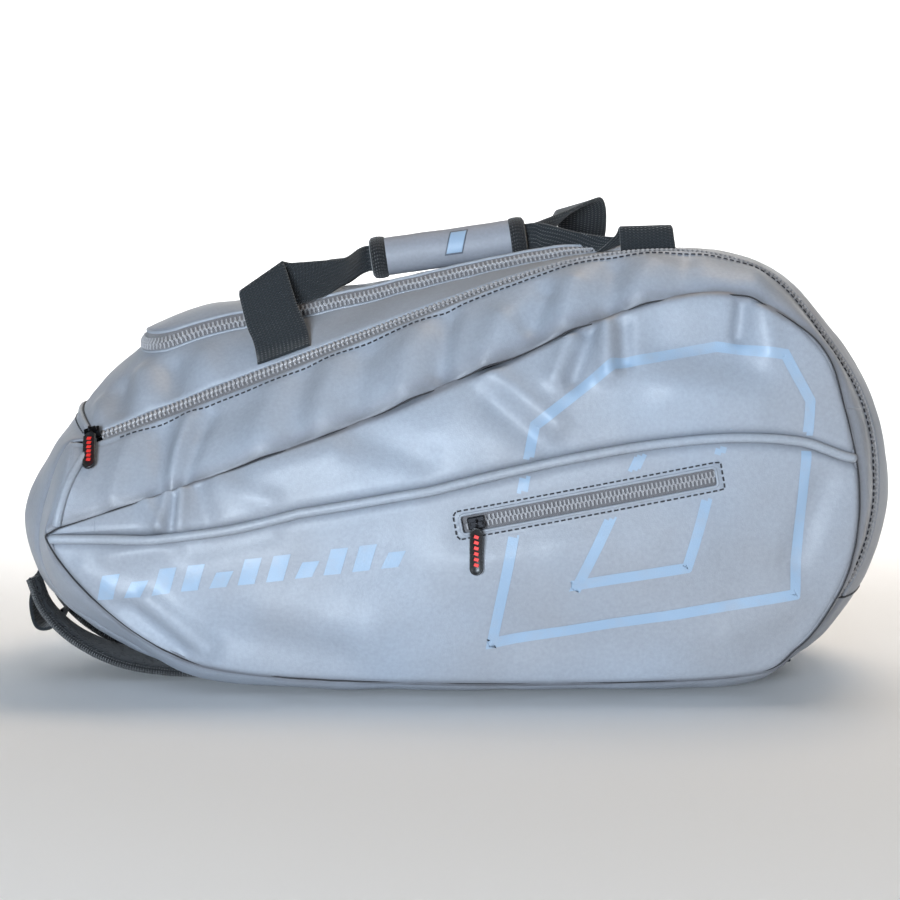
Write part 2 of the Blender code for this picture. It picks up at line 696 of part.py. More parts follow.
def sliders():
    for side, name in ((-1, "near"), (1, "far")):
        along = Vector((math.cos(ZIP_RISE), 0, math.sin(ZIP_RISE)))
        up = Vector((-math.sin(ZIP_RISE), 0, math.cos(ZIP_RISE)))
        out = up * math.cos(SLIDER_LEAN) + Vector((0, side * math.sin(SLIDER_LEAN), 0))
        frame = basis(along, out, zip_point(ZIP_START[0] + 0.0005, side))
        carriage = slider(name + "_zip_slider", frame)
        puller(name + "_zip_puller", frame, Vector((-0.2385, side * 0.1200, 0.1490)), carriage)

        slope = pocket_matrix(side)
        start = slope @ Matrix.Translation((-POCKET_LENGTH / 2 + 0.010, 0, 0))
        carriage = slider(name + "_pocket_slider", start)
        hang = start.translation + Vector((0, side * (BAR_RISE - 0.001), -0.030))
        puller(name + "_pocket_puller", start, hang, carriage)

    y = FLAP_HALF + FLAP_ZIP + GAP
    at = top_point(FLAP_SLIDER_X, y)
    along = at - top_point(FLAP_SLIDER_X - FLAP_SLIDER_TRAVEL, y)
    frame = basis(along, Vector((0, 0.20, 1)), at)
    carriage = slider("flap_zip_slider", frame)
    puller("flap_zip_puller", frame, top_point(FLAP_SLIDER_X, y + 0.030, 0.0050), carriage)


# ------------------------------------------------------------------ carrying handles
def handle_ends(side, right_x):
    """The sewn ends of one carrying strap. Its hinge line runs through both."""
    left = top_point(HANDLE_LEFT_X, side * HANDLE_ANCHOR_Y, 0.0026)
    return left, top_point(right_x, side * (HANDLE_ANCHOR_Y - 0.006), 0.0034)


def handle_strap(side, name, parent, right_x, right_hump):
    """One carrying strap: up from its left anchor, folded lengthwise in the wrap, down again."""
    half = WEBBING_HALF
    left, right = handle_ends(side, right_x)
    in_wrap = WRAP_MIDDLE + Vector((0, side * STRAP_APART, 0))
    along = Vector((math.cos(WRAP_TILT), 0, math.sin(WRAP_TILT)))
    upright = Vector((-math.sin(WRAP_TILT), 0, math.cos(WRAP_TILT))) * FOLDED_HALF
    tail_in = in_wrap - along * (WRAP_LENGTH / 2)
    tail_out = in_wrap + along * (WRAP_LENGTH / 2)
    ribbon(name, (
        (left, (half, 0, 0.007)),
        (left + Vector((-0.002, side * -0.005, 0.022)), (half, 0, 0.004)),
        (left + Vector((-0.005, side * -0.014, 0.042)), (half * 0.95, 0, 0.004)),
        (left + Vector((0.010, side * -0.030, 0.056)), (half * 0.6, side * -0.004, 0.006)),
        (tail_in + Vector((-0.020, side * 0.010, 0.004)), (0.005, 0, 0.010)),
        (tail_in - along * 0.008, upright),
        (tail_in, upright),
        (tail_out, upright),
        (tail_out + along * 0.008, upright),
        right_hump[0],
        right_hump[1],
        (right, (half, 0, 0.002)),
    ), WEBBING, "webbing", parent)


def handles():
    near_axis = joint_empty("near_handle_axis", handle_ends(-1, NEAR_RIGHT_X)[0])
    far_axis = joint_empty("far_handle_axis", handle_ends(1, FAR_RIGHT_X)[0])
    handle_strap(-1, "near_handle_strap", near_axis, NEAR_RIGHT_X, NEAR_HUMP)
    handle_strap(1, "far_handle_strap", far_axis, FAR_RIGHT_X, FAR_HUMP)

    along = Vector((math.cos(WRAP_TILT), 0, math.sin(WRAP_TILT)))
    up = Vector((-math.sin(WRAP_TILT), 0, math.cos(WRAP_TILT)))

    def sleeve(growth, from_x, to_x):
        def surface(u, v):
            angle = WRAP_MOUTH[0] + (WRAP_MOUTH[1] - WRAP_MOUTH[0]) * v
            x = from_x + (to_x - from_x) * u
            return (WRAP_MIDDLE + along * x + Vector((0, (WRAP_HALF[0] + growth) * math.cos(angle), 0))
                    + up * ((WRAP_HALF[1] + growth) * math.sin(angle)))
        return surface

    end = WRAP_LENGTH / 2
    inner = end - BINDING - 2 * GAP
    sheet("handle_wrap", sleeve(0.0, -inner, inner), 3, 10, FABRIC, "leather", near_axis,
          inside=WRAP_MIDDLE)
    for label, x in (("left", -end), ("right", end - BINDING)):
        sheet("handle_wrap_" + label + "_binding", sleeve(BINDING_GROWTH, x, x + BINDING), 1, 10,
              BINDING_THICK, "webbing", near_axis, inside=WRAP_MIDDLE)


# ------------------------------------------------------------------ shoulder straps
def shoulder_strap(side, name):
    y = side * STRAP_Y
    padding = [((x, y, z), (0, STRAP_HALF * share, 0)) for x, z, share in SHOULDER_STOPS]
    ribbon(name + "_shoulder_strap", padding, STRAP_THICK, "webbing")

    lock = outline_plate(name + "_ladder_lock", [
        round_rect(*LOCK_HALF, 0.0030, 2),
        round_rect(*LOCK_SLOT, 0.0008, 1, (LOCK_SLOTS_X[0], 0)),
        round_rect(*LOCK_SLOT, 0.0008, 1, (LOCK_SLOTS_X[1], 0))], LOCK_THICK)
    lock_at = Vector((STRAP_END + 0.0020 + LOCK_HALF[0], y, LOCK_HEIGHT))
    place(as_mesh(lock, Matrix.Translation(lock_at)), "plastic")

    strip = [((x, y, z), (0, STRIP_HALF, 0)) for x, z in STRIP_STOPS]
    ribbon(name + "_strap_webbing", strip, WEBBING, "webbing", None, 2)

    axis = joint_empty(name + "_tail_axis", (AFTER_LOCK, y, TAIL_HEIGHT))
    tail_x = (AFTER_LOCK, 0.1600, TAIL_END)
    tail = [((x, y, TAIL_HEIGHT), (0, STRIP_HALF, 0)) for x in tail_x]
    ribbon(name + "_strap_tail", tail, WEBBING, "webbing", axis, 2)


def haul_loop():
    """A flat webbing loop at the narrow end, to pull or hang the bag by."""
    stops = [((x, 0.0, z), (0, LOOP_HALF, 0)) for x, z in LOOP_STOPS]
    ribbon("haul_loop", stops, WEBBING, "webbing", None, 2)


# ------------------------------------------------------------------ the whole bag
def build():
    empty_scene()
    crown_and_flap()
    end_and_back_panels()
    for side, name in ((-1, "near"), (1, "far")):
        divider(side, name)
        lid = joint_empty(name + "_lid_axis", (0.0, side * HINGE_Y, hinge_height(0.0)))
        side_shell(side, name, lid)
        pocket(side, name)
        piping(side, name)
        shoulder_strap(side, name)
    sliders()
    handles()
    haul_loop()


build()
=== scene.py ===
"""The looks of the padel racket bag: leather, zips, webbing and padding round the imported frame.

Metres, +Z up, in the CAD model's frame: X along the bag with the narrow end at -X, the near
side at -Y. Lengths ending in _MM or given in tables are millimetres and are scaled once.
"""
import math

import bpy
import numpy as np
from mathutils import Matrix, Vector, noise


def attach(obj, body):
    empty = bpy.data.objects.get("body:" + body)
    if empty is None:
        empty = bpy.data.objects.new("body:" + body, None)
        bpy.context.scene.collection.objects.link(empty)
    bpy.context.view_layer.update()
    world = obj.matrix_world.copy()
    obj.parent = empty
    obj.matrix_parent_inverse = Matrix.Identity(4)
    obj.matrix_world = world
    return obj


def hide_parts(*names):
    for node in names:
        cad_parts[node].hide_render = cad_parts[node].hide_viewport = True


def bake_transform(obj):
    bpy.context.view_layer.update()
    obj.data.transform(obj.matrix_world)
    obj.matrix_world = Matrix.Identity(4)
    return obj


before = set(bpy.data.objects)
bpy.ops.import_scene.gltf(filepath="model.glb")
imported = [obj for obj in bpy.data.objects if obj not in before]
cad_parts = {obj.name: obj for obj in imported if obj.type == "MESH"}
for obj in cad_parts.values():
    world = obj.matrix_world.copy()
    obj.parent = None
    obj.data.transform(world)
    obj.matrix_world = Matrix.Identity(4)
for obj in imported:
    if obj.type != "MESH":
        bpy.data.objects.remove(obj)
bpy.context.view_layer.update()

MM = 0.001

# ------------------------------------------------------------------ dimensions shared with the CAD
ZIP_Y = 0.088
SEAM_Y = 0.130
SIDE_RISE = 0.015
CROWN_POWER = 2.2
ZIP_RISE = math.radians(21.0)
ZIP_START = (-0.241, 0.171)
LID_START = 2.30
LID_END = 14.05
CROWN_START = 2.0
ZIP_END = 17.0
BACK_END = 22.6
FLAP_LEFT = -0.212
FLAP_HINGE_X = 0.122
FLAP_HALF = 0.0430
POCKET_SLOPE = math.radians(10.7)
POCKET_CENTRE = (0.0845, 0.1340)
POCKET_LENGTH = 0.166
STRAP_Y = 0.030
STRAP_HALF = 0.027
STRAP_THICK = 0.009
STRAP_END = 0.100
TAIL_END = 0.193
WEBBING = 0.0022
SIDES = ((-1, "near"), (1, "far"))

# Stations round the bag's girth, in millimetres: X and Z on the centre plane, at the racket zip
# and at the side seam.
STATIONS = MM * np.array((
    (-302, 112, -280, 111, -266, 106),
    (-284, 156, -262, 163, -262, 113),
    (-262, 188, -241, 171, -243, 120),
    (-234, 220, -200, 186.7, -204, 133),
    (-190, 246, -150, 205.9, -155, 150),
    (-100, 262, -100, 225.1, -105, 168),
    (-50, 271, -50, 244.3, -50, 189),
    (0, 280, 0, 263.5, 0, 211),
    (35, 287, 35, 276, 35, 224),
    (90, 294, 85, 290, 80, 245),
    (140, 298, 135, 295, 130, 262),
    (186, 295, 178, 291, 172, 267),
    (226, 280, 214, 275, 207, 255),
    (264, 240, 248, 235, 237, 230),
    (289, 199, 272, 194, 251, 195),
    (302, 152, 281, 149, 261, 149),
    (301, 108, 277, 104, 260, 104),
    (286, 64, 258, 62, 247, 68),
    (250, 22, 226, 24, 222, 34),
    (205, 12, 190, 7, 188, 17),
    (60, 12, 60, 5.5, 60, 11),
    (-70, 12, -70, 5.5, -70, 13),
    (-165, 12, -160, 8, -160, 22),
    (-232, 21, -214, 28, -209, 44),
    (-284, 60, -268, 68, -246, 78)))
GIRTH = len(STATIONS)
PANEL_CENTRE = np.array((0.010, 0.134))

# The corded seam across each side panel, in millimetres: X and Z.
CREST = MM * np.array((
    (-262, 107.5), (-225, 108), (-189, 109), (-144, 115), (-100, 126), (-17, 140), (37, 153),
    (90, 164), (136, 171), (180, 174), (222, 171), (256, 160)))

# Soft folds of the leather, in millimetres: X and Z where each starts and ends, its width and
# its height above the cloth round it.
GUSSET_FOLDS = (
    (-175, 187, -185, 141, 6, 3.4), (-195, 180, -189, 140, 8, -3.2), (-163, 186, -179, 140, 6, -2.4),
    (-214, 172, -222, 136, 7, 1.6), (-118, 206, -127, 171, 13, 2.6), (-100, 216, -106, 180, 10, -2.2),
    (-82, 222, -88, 186, 11, 2), (-58, 232, -66, 196, 10, -2.4), (-27, 240, -34, 206, 11, 3),
    (-6, 252, -11, 216, 8, -4.2), (30, 246, 19, 222, 11, 3.2), (57, 266, 48, 246, 8, -4),
    (76, 272, 71, 248, 9, 3), (102, 282, 97, 260, 9, -4), (126, 286, 118, 268, 11, 2.4),
    (150, 290, 146, 272, 9, -1.8), (196, 282, 188, 266, 10, 1.6))
UPPER_FOLDS = (
    (85, 244, 74, 212, 7, -4.6), (96, 244, 96, 216, 7, 4), (74, 236, 64, 214, 7, 3.2),
    (106, 246, 107, 222, 6, -3.2), (22, 214, 62, 182, 9, 3.6), (26, 198, 60, 168, 11, -3.4),
    (184, 264, 182, 240, 6, -4), (133, 234, 178, 230, 18, -4.2), (196, 254, 200, 230, 9, 2.2),
    (-185, 138, -189, 118, 4, 2.4), (-176, 139, -176, 116, 4, 2.6), (-201, 134, -191, 118, 5, 2.4),
    (-181, 136, -183, 117, 3, -2.2), (-166, 142, -160, 122, 7, -2.2), (-125, 152, -80, 164, 10, 2.2),
    (-60, 176, -20, 162, 12, -2.2), (-150, 144, -120, 134, 9, 1.8), (140, 206, 190, 196, 16, 2.4))
LOWER_FOLDS = (
    (-222, 96, -196, 106, 9, 2), (-198, 68, -160, 38, 8, 3.2), (-212, 64, -178, 34, 7, -2.6),
    (-240, 88, -214, 72, 8, 2.2), (-150, 46, -80, 34, 14, -2.4), (-120, 64, -60, 50, 16, 2),
    (10, 94, 150, 110, 24, 2.2), (218, 96, 236, 144, 11, -2.4), (180, 50, 214, 68, 14, 2),
    (-170, 102, -120, 112, 9, -1.8), (40, 44, 120, 40, 20, -1.8))
CROWN_FOLDS = (
    (-232, 216, -226, 189, 8, -3.2), (-214, 220, -206, 192, 9, 3.4), (-192, 216, -186, 194, 8, -3.6),
    (-168, 222, -162, 206, 9, 2.6), (-246, 206, -240, 184, 6, 1.8), (-120, 234, -116, 224, 10, -1.6))


# ------------------------------------------------------------------ materials
class Shader:
    """A node material under construction. Every texture reads the piece's rest position."""

    def __init__(self, name, roughness, metallic=0.0, sheen=0.0, specular=0.5):
        self.material = bpy.data.materials.new(name)
        self.material.use_nodes = True
        self.tree = self.material.node_tree
        self.principled = self.tree.nodes["Principled BSDF"]
        self.principled.inputs["Roughness"].default_value = roughness
        self.principled.inputs["Metallic"].default_value = metallic
        self.principled.inputs["Sheen Weight"].default_value = sheen
        self.principled.inputs["Specular IOR Level"].default_value = specular
        self.bump_height = None

    def node(self, kind, **values):
        made = self.tree.nodes.new(kind)
        for name, value in values.items():
            setattr(made, name, value)
        return made

    def link(self, output, target):
        self.tree.links.new(output, target)

    def attribute(self, name):
        return self.node("ShaderNodeAttribute", attribute_name=name).outputs["Vector"]

    def scaled(self, vector, scale):
        made = self.node("ShaderNodeVectorMath", operation="MULTIPLY")
        made.inputs[1].default_value = scale
        self.link(vector, made.inputs[0])
        return made.outputs[0]

    def noise(self, vector, scale, detail=3.0, rough=0.5):
        made = self.node("ShaderNodeTexNoise")
        made.inputs["Scale"].default_value = scale
        made.inputs["Detail"].default_value = detail
        made.inputs["Roughness"].default_value = rough
        self.link(vector, made.inputs["Vector"])
        return made.outputs["Fac"]

    def voronoi(self, vector, scale):
        made = self.node("ShaderNodeTexVoronoi")
        made.inputs["Scale"].default_value = scale
        self.link(vector, made.inputs["Vector"])
        return made.outputs["Distance"]

    def maths(self, operation, a, b, clamp=False):
        made = self.node("ShaderNodeMath", operation=operation, use_clamp=clamp)
        for socket, value in zip(made.inputs, (a, b)):
            if isinstance(value, (int, float)):
                socket.default_value = value
            else:
                self.link(value, socket)
        return made.outputs[0]

    def ramp(self, value, low, high, out_low=0.0, out_high=1.0):
        made = self.node("ShaderNodeMapRange")
        for socket, number in zip(made.inputs[1:5], (low, high, out_low, out_high)):
            socket.default_value = number
        self.link(value, made.inputs[0])
        return made.outputs[0]

    def mix(self, factor, a, b):
        made = self.node("ShaderNodeMix", data_type="RGBA")
        self.link(factor, made.inputs["Factor"])
        for socket, value in zip((made.inputs[6], made.inputs[7]), (a, b)):
            if isinstance(value, tuple):
                socket.default_value = (*value, 1.0)
            else:
                self.link(value, socket)
        return made.outputs[2]

    def colour(self, value):
        if isinstance(value, tuple):
            self.principled.inputs["Base Color"].default_value = (*value, 1.0)
        else:
            self.link(value, self.principled.inputs["Base Color"])

    def rough(self, value):
        self.link(value, self.principled.inputs["Roughness"])

    def bump(self, height, distance, strength=1.0):
        """Adds one layer of relief, distance deep."""
        made = self.node("ShaderNodeBump")
        made.inputs["Strength"].default_value = strength
        made.inputs["Distance"].default_value = distance
        self.link(height, made.inputs["Height"])
        if self.bump_height:
            self.link(self.bump_height, made.inputs["Normal"])
        self.bump_height = made.outputs["Normal"]
        self.link(self.bump_height, self.principled.inputs["Normal"])


LEATHER = (0.300, 0.335, 0.392)
LEATHER_WARM = (0.285, 0.296, 0.325)
# Dark colour for the leather's random specks of dirt and for its painted shade along the seams.
LEATHER_DIRT_AND_SHADE = (0.105, 0.100, 0.110)
PRINT_BLUE = (0.255, 0.365, 0.500)
INK = (0.022, 0.026, 0.038)
BLACK_WORN = (0.030, 0.032, 0.036)


def leather(name, light=LEATHER, warm=LEATHER_WARM, roughness=0.46):
    """Smooth artificial leather: fine grain, faint cloudiness, dark specks and painted shade along the seams.
    """
    made = Shader(name, roughness, specular=0.42)
    rest = made.attribute("rest")
    cloud = made.ramp(made.noise(rest, 7.0, 3.0), 0.35, 0.68)
    colour = made.mix(cloud, light, warm)
    speck = made.ramp(made.noise(rest, 420.0, 2.0), 0.30, 0.75, 0.0, 0.16)
    colour = made.mix(speck, colour, LEATHER_DIRT_AND_SHADE)
    # Painted shade: the seam attribute darkens the leather along its seams, the corded seam and the flap's
    # edge, where shade falls.
    seam = made.node("ShaderNodeAttribute", attribute_name="seam").outputs["Fac"]
    seam_shade = made.maths("MULTIPLY", seam, made.ramp(made.noise(rest, 60.0), 0.2, 0.7, 0.45, 0.85))
    made.colour(made.mix(seam_shade, colour, LEATHER_DIRT_AND_SHADE))
    made.rough(made.ramp(made.noise(rest, 26.0, 4.0), 0.25, 0.75, roughness - 0.06, roughness + 0.08))
    made.bump(made.noise(rest, 150.0, 2.0), 0.00022, 0.55)
    made.bump(made.voronoi(rest, 1150.0), 0.00012, 0.5)
    return made.material


def weave(name, light, dark, pitch, roughness=0.82, ribs=0.0):
    """Woven tape. Its threads follow the piece's flat coordinates, along and across, in metres."""
    made = Shader(name, roughness, sheen=0.25, specular=0.28)
    flat = made.attribute("flat")
    turns = math.tau / pitch
    split = made.node("ShaderNodeSeparateXYZ")
    made.link(flat, split.inputs[0])
    along = made.maths("SINE", made.maths("MULTIPLY", split.outputs[0], turns), 0.0)
    across = made.maths("SINE", made.maths("MULTIPLY", split.outputs[1], turns * 0.72), 0.0)
    knots = made.maths("MULTIPLY", along, across)
    body = made.ramp(knots, -0.9, 0.9)
    fuzz = made.noise(made.attribute("rest"), 900.0, 2.0)
    tone = made.maths("MULTIPLY", body, made.ramp(fuzz, 0.25, 0.8, 0.5, 1.0))
    patch = made.ramp(made.noise(made.attribute("rest"), 30.0), 0.35, 0.7, 0.0, 0.35)
    made.colour(made.mix(tone, dark, made.mix(patch, light, dark)))
    made.bump(body, 0.00035, 0.9)
    if ribs:
        made.bump(made.ramp(along, -0.6, 0.8), ribs, 0.9)
    made.bump(fuzz, 0.0001, 0.4)
    return made.material


def moulded(name, colour, roughness, metallic=0.0, worn=(0.09, 0.09, 0.10)):
    """Moulded plastic or painted die-cast metal with fine scuffs."""
    made = Shader(name, roughness, metallic, specular=0.5)
    where = made.node("ShaderNodeTexCoord").outputs["Object"]
    scuff = made.ramp(made.noise(where, 900.0, 4.0, 0.7), 0.60, 0.78, 0.0, 0.55)
    made.colour(made.mix(scuff, colour, worn))
    made.rough(made.ramp(made.noise(where, 300.0, 3.0), 0.3, 0.7, roughness - 0.08, roughness + 0.12))
    made.bump(made.noise(where, 1500.0, 2.0), 0.00005, 0.5)
    return made.material


def padding_mesh(name):
    """Black spacer mesh: small hexagonal holes in a soft knit."""
    made = Shader(name, 0.9, sheen=0.2, specular=0.2)
    flat = made.attribute("flat")
    holes = made.ramp(made.voronoi(flat, 430.0), 0.18, 0.42)
    fuzz = made.noise(made.attribute("rest"), 1200.0, 2.0)
    made.colour(made.mix(made.maths("MULTIPLY", holes, made.ramp(fuzz, 0.2, 0.8, 0.6, 1.0)),
                         (0.003, 0.003, 0.004), BLACK_WORN))
    made.bump(holes, 0.0006, 0.9)
    made.bump(fuzz, 0.0001, 0.5)
    return made.material


def lining_cloth(name):
    """Plain dark polyester lining with a fine crossed weave."""
    made = Shader(name, 0.75, sheen=0.2, specular=0.3)
    rest = made.attribute("rest")
    folds = made.ramp(made.noise(rest, 12.0, 3.0), 0.3, 0.7)
    made.colour(made.mix(folds, (0.030, 0.031, 0.035), (0.060, 0.062, 0.070)))
    made.bump(made.voronoi(rest, 1400.0), 0.00012, 0.6)
    made.bump(made.noise(rest, 45.0, 3.0), 0.0008, 0.5)
    return made.material


def printed(name, colour, roughness=0.42):
    """Ink printed on leather, worn thin in places."""
    made = Shader(name, roughness, specular=0.45)
    rest = made.attribute("rest")
    worn = made.ramp(made.noise(rest, 55.0, 4.0, 0.65), 0.46, 0.74, 0.25, 0.75)
    made.colour(made.mix(worn, colour, LEATHER))
    made.bump(made.voronoi(rest, 1150.0), 0.00010, 0.5)
    return made.material


BODY = leather("soft_leather")
WRAP = leather("wrap_leather", (0.262, 0.275, 0.315), (0.250, 0.258, 0.285), 0.50)
CORDING = leather("piping_leather", (0.305, 0.338, 0.392), (0.290, 0.305, 0.335), 0.44)
WEB = weave("webbing_black", (0.026, 0.031, 0.036), (0.008, 0.010, 0.012), 0.0019, ribs=0.0002)
BOUND = weave("binding_ribbed", (0.026, 0.028, 0.031), (0.004, 0.004, 0.005), 0.0018, ribs=0.0005)
TAPE = weave("zip_tape", (0.235, 0.225, 0.232), (0.150, 0.143, 0.150), 0.0011)
TEETH = moulded("zip_teeth", (0.330, 0.322, 0.332), 0.42, worn=(0.42, 0.42, 0.43))
THREAD = weave("stitch_thread", (0.040, 0.040, 0.050), (0.016, 0.016, 0.020), 0.0007)
SLIDER = moulded("slider_metal", (0.012, 0.012, 0.014), 0.30, 0.75, worn=(0.10, 0.10, 0.11))
PLASTIC = moulded("puller_plastic", (0.010, 0.010, 0.011), 0.30)
BUCKLE = moulded("buckle_plastic", (0.012, 0.012, 0.013), 0.42)
RED = moulded("raised_red", (0.72, 0.030, 0.024), 0.45, worn=(0.75, 0.12, 0.09))
PADDING = padding_mesh("strap_mesh")
LINING = lining_cloth("lining_dark")
PRINT = printed("print_blue", PRINT_BLUE)
OUTLINE = printed("print_outline", INK, 0.5)
# Painted shadow: a dark cord laid in the seam valleys, where shade falls.
SEAM_SHADOW_CORD = weave("seam_shadow", (0.045, 0.043, 0.048), (0.015, 0.015, 0.018), 0.0008)


# ------------------------------------------------------------------ the skin
def rails(t):
    """Centre line, zip line and seam line at stations t: six columns."""
    t = np.asarray(t, float)
    first = np.floor(t).astype(int)
    u = (t - first)[..., None]
    a, b, c, d = (STATIONS[(first + k) % GIRTH] for k in (-1, 0, 1, 2))
    return 0.5 * (2 * b + (c - a) * u + (2 * a - 5 * b + 4 * c - d) * u ** 2
                  + (3 * b - a - 3 * c + d) * u ** 3)


def bare_skin(t, y):
    """The smooth outer surface between the two side seams, as the CAD has it."""
    t, y = np.broadcast_arrays(np.asarray(t, float), np.asarray(y, float))
    row = rails(t)
    centre, at_zip, at_seam = row[..., 0:2], row[..., 2:4], row[..., 4:6]
    wide = np.abs(y)[..., None]
    inner = centre + (at_zip - centre) * np.clip(wide / ZIP_Y, 0, 1) ** CROWN_POWER
    span = SEAM_Y - ZIP_Y
    u = np.maximum((wide - ZIP_Y) / span, 0)
    slope = (at_zip - centre) * (CROWN_POWER * span / ZIP_Y)
    outer = at_zip + slope * u + (at_seam - at_zip - slope) * u ** 2
    flat = np.where(wide <= ZIP_Y, inner, outer)
    return np.stack([flat[..., 0], y, flat[..., 1]], -1)


def unit(vectors):
    return vectors / np.maximum(np.linalg.norm(vectors, axis=-1, keepdims=True), 1e-9)


def skin_normal(t, y):
    step_t, step_y = 0.02, 0.0005
    along = bare_skin(t + step_t, y) - bare_skin(t - step_t, y)
    over = bare_skin(t, y + step_y) - bare_skin(t, y - step_y)
    return unit(np.cross(along, over))


SEAM_SAMPLES = rails(np.linspace(0, GIRTH, 400, endpoint=False))[:, 4:6] - PANEL_CENTRE
SEAM_ANGLE = np.arctan2(SEAM_SAMPLES[:, 1], SEAM_SAMPLES[:, 0])
SEAM_RADIUS = np.linalg.norm(SEAM_SAMPLES, axis=1)
SEAM_ORDER = np.argsort(SEAM_ANGLE)


def seam_share(x, z):
    """How far a point of a side panel is from the panel's centre, 1 on the seam, and its radius."""
    away = np.stack([x, z], -1) - PANEL_CENTRE
    radius = np.linalg.norm(away, axis=-1)
    edge = np.interp(np.arctan2(away[..., 1], away[..., 0]), SEAM_ANGLE[SEAM_ORDER],
                     SEAM_RADIUS[SEAM_ORDER], period=math.tau)
    return np.clip(radius / edge, 0, 1), edge


def bare_side(x, z, side):
    share, _ = seam_share(x, z)
    return np.stack([x, side * (SEAM_Y + SIDE_RISE * (1.0 - share ** 3)), z], -1)


def side_normal(x, z, side):
    step = 0.001
    along = bare_side(x + step, z, side) - bare_side(x - step, z, side)
    up = bare_side(x, z + step, side) - bare_side(x, z - step, side)
    return unit(np.cross(along, up)) * -side


def crest_height(x):
    """Z of the corded seam at X."""
    t = np.interp(x, CREST[:, 0], np.arange(len(CREST)))
    first = np.clip(np.floor(t).astype(int), 0, len(CREST) - 2)
    u = t - first
    z = CREST[:, 1]
    a, b = z[np.maximum(first - 1, 0)], z[first]
    c, d = z[first + 1], z[np.minimum(first + 2, len(z) - 1)]
    return 0.5 * (2 * b + (c - a) * u + (2 * a - 5 * b + 4 * c - d) * u ** 2
                  + (3 * b - a - 3 * c + d) * u ** 3)


# ------------------------------------------------------------------ relief of the leather
def bell(distance, width):
    return np.exp(-(distance / width) ** 2)


FOLD_STRENGTH = 1.6


def fold_relief(x, z, folds, shift=0.0):
    """Height of a set of folds above the smooth cloth, in metres."""
    total = np.zeros(np.broadcast(x, z).shape)
    for x0, z0, x1, z1, width, height in folds:
        start = np.array((x0 + shift, z0)) * MM
        way = np.array((x1 - x0, z1 - z0)) * MM
        share = np.clip(((x - start[0]) * way[0] + (z - start[1]) * way[1]) / (way @ way), 0, 1)
        gap = np.hypot(x - start[0] - share * way[0], z - start[1] - share * way[1])
        total += FOLD_STRENGTH * height * MM * bell(gap, width * MM)
    return total


def rumple(points, size, seed):
    """Smooth random waves about as long as size, roughly between -1 and 1."""
    flat = points.reshape(-1, 3) / size
    offset = Vector((seed * 3.7, seed * 1.3, seed * 5.1))
    values = [noise.fractal(Vector(p) + offset, 1.0, 2.0, 2) for p in flat]
    return np.array(values).reshape(points.shape[:-1])


def smooth(value, low, high):
    u = np.clip((value - low) / (high - low), 0, 1)
    return u * u * (3 - 2 * u)


FLAP_EDGE_RISE = 0.0076
SEAM_DIP = 0.0024
SEAM_WIDTH = 0.0028
LEATHER_THICK = 0.0022
TAPE_THICK = 0.0009
STITCH_LIFT = 0.0009      # stitches and thick seams, above the leather's own height
# Radii of the dark cords of painted shadow laid in the seams.
SEAM_RADIUS_THIN = 0.0006
SEAM_RADIUS_THICK = 0.0009
PIPING_RADIUS = 0.0031
PIPING_LIFT = 0.0036      # middle of the side's cord above the leather
POCKET_CORNER = 0.0022
POCKET_HALF = 0.0062      # half height of the pocket's opening
POCKET_STITCH = 0.0028    # stitches, from the edge of the opening

# Distances across the cloth from the middle of a racket zip, positive towards the side.
ZIP_MIDDLE = 0.0884
NARROW_SEAM = 1.25        # station where the narrow end's cap meets the side seam
CROWN_EDGE = -0.0050
GUSSET_EDGE = 0.0076
ZIP_STITCH = 0.0108
TOOTH_ROW = 0.0017


def zip_y(t, offset):
    """Width Y of a line that runs offset metres of cloth beside the racket zip."""
    t = np.asarray(t, float)
    step = 0.0005
    over = bare_skin(t, ZIP_MIDDLE + step) - bare_skin(t, ZIP_MIDDLE - step)
    return ZIP_MIDDLE + offset * 2 * step / np.linalg.norm(over, axis=-1)


def zip_offset(t, y):
    """How far a point of the skin is from the middle of its racket zip, measured on the cloth."""
    return (np.abs(y) - ZIP_MIDDLE) * 0.001 / (zip_y(t, 0.001) - ZIP_MIDDLE)


def skin_relief(t, y, points):
    """Folds, seams and swelling of the crown, the gussets, the ends and the back."""
    wide = np.abs(y)
    x, z = points[..., 0], points[..., 2]
    offset = zip_offset(t, y)
    station = np.where(t > GIRTH - 1, t - GIRTH, t)
    zipped = smooth(station, 0.8, 1.5) * (1 - smooth(station, ZIP_END - 0.5, ZIP_END))
    calm = 1.0 - zipped * bell(offset, 0.0150)
    on_gusset = smooth(offset, 0.004, 0.014)
    gusset = np.where(y < 0, fold_relief(x, z, GUSSET_FOLDS), fold_relief(x, z, GUSSET_FOLDS, 11.0))
    crown = fold_relief(x, z, CROWN_FOLDS)
    relief = zipped * (on_gusset * gusset + smooth(wide, 0.045, 0.060) * (1 - on_gusset) * crown)
    relief += 0.0012 * rumple(points, 0.055, 2.0) + 0.0005 * rumple(points, 0.022, 5.0)
    relief += 0.0016 * zipped * smooth(wide, 0.100, 0.116) * (1 - smooth(wide, 0.120, 0.1285))
    relief = relief * calm
    relief -= SEAM_DIP * bell(SEAM_Y - wide, SEAM_WIDTH)
    relief -= 0.0008 * zipped * bell(offset - ZIP_STITCH, 0.0010)
    relief += 0.0007 * zipped * bell(offset - GUSSET_EDGE - 0.0012, 0.0016)
    relief -= (1 - zipped) * SEAM_DIP * bell(wide - ZIP_Y, SEAM_WIDTH)
    return relief


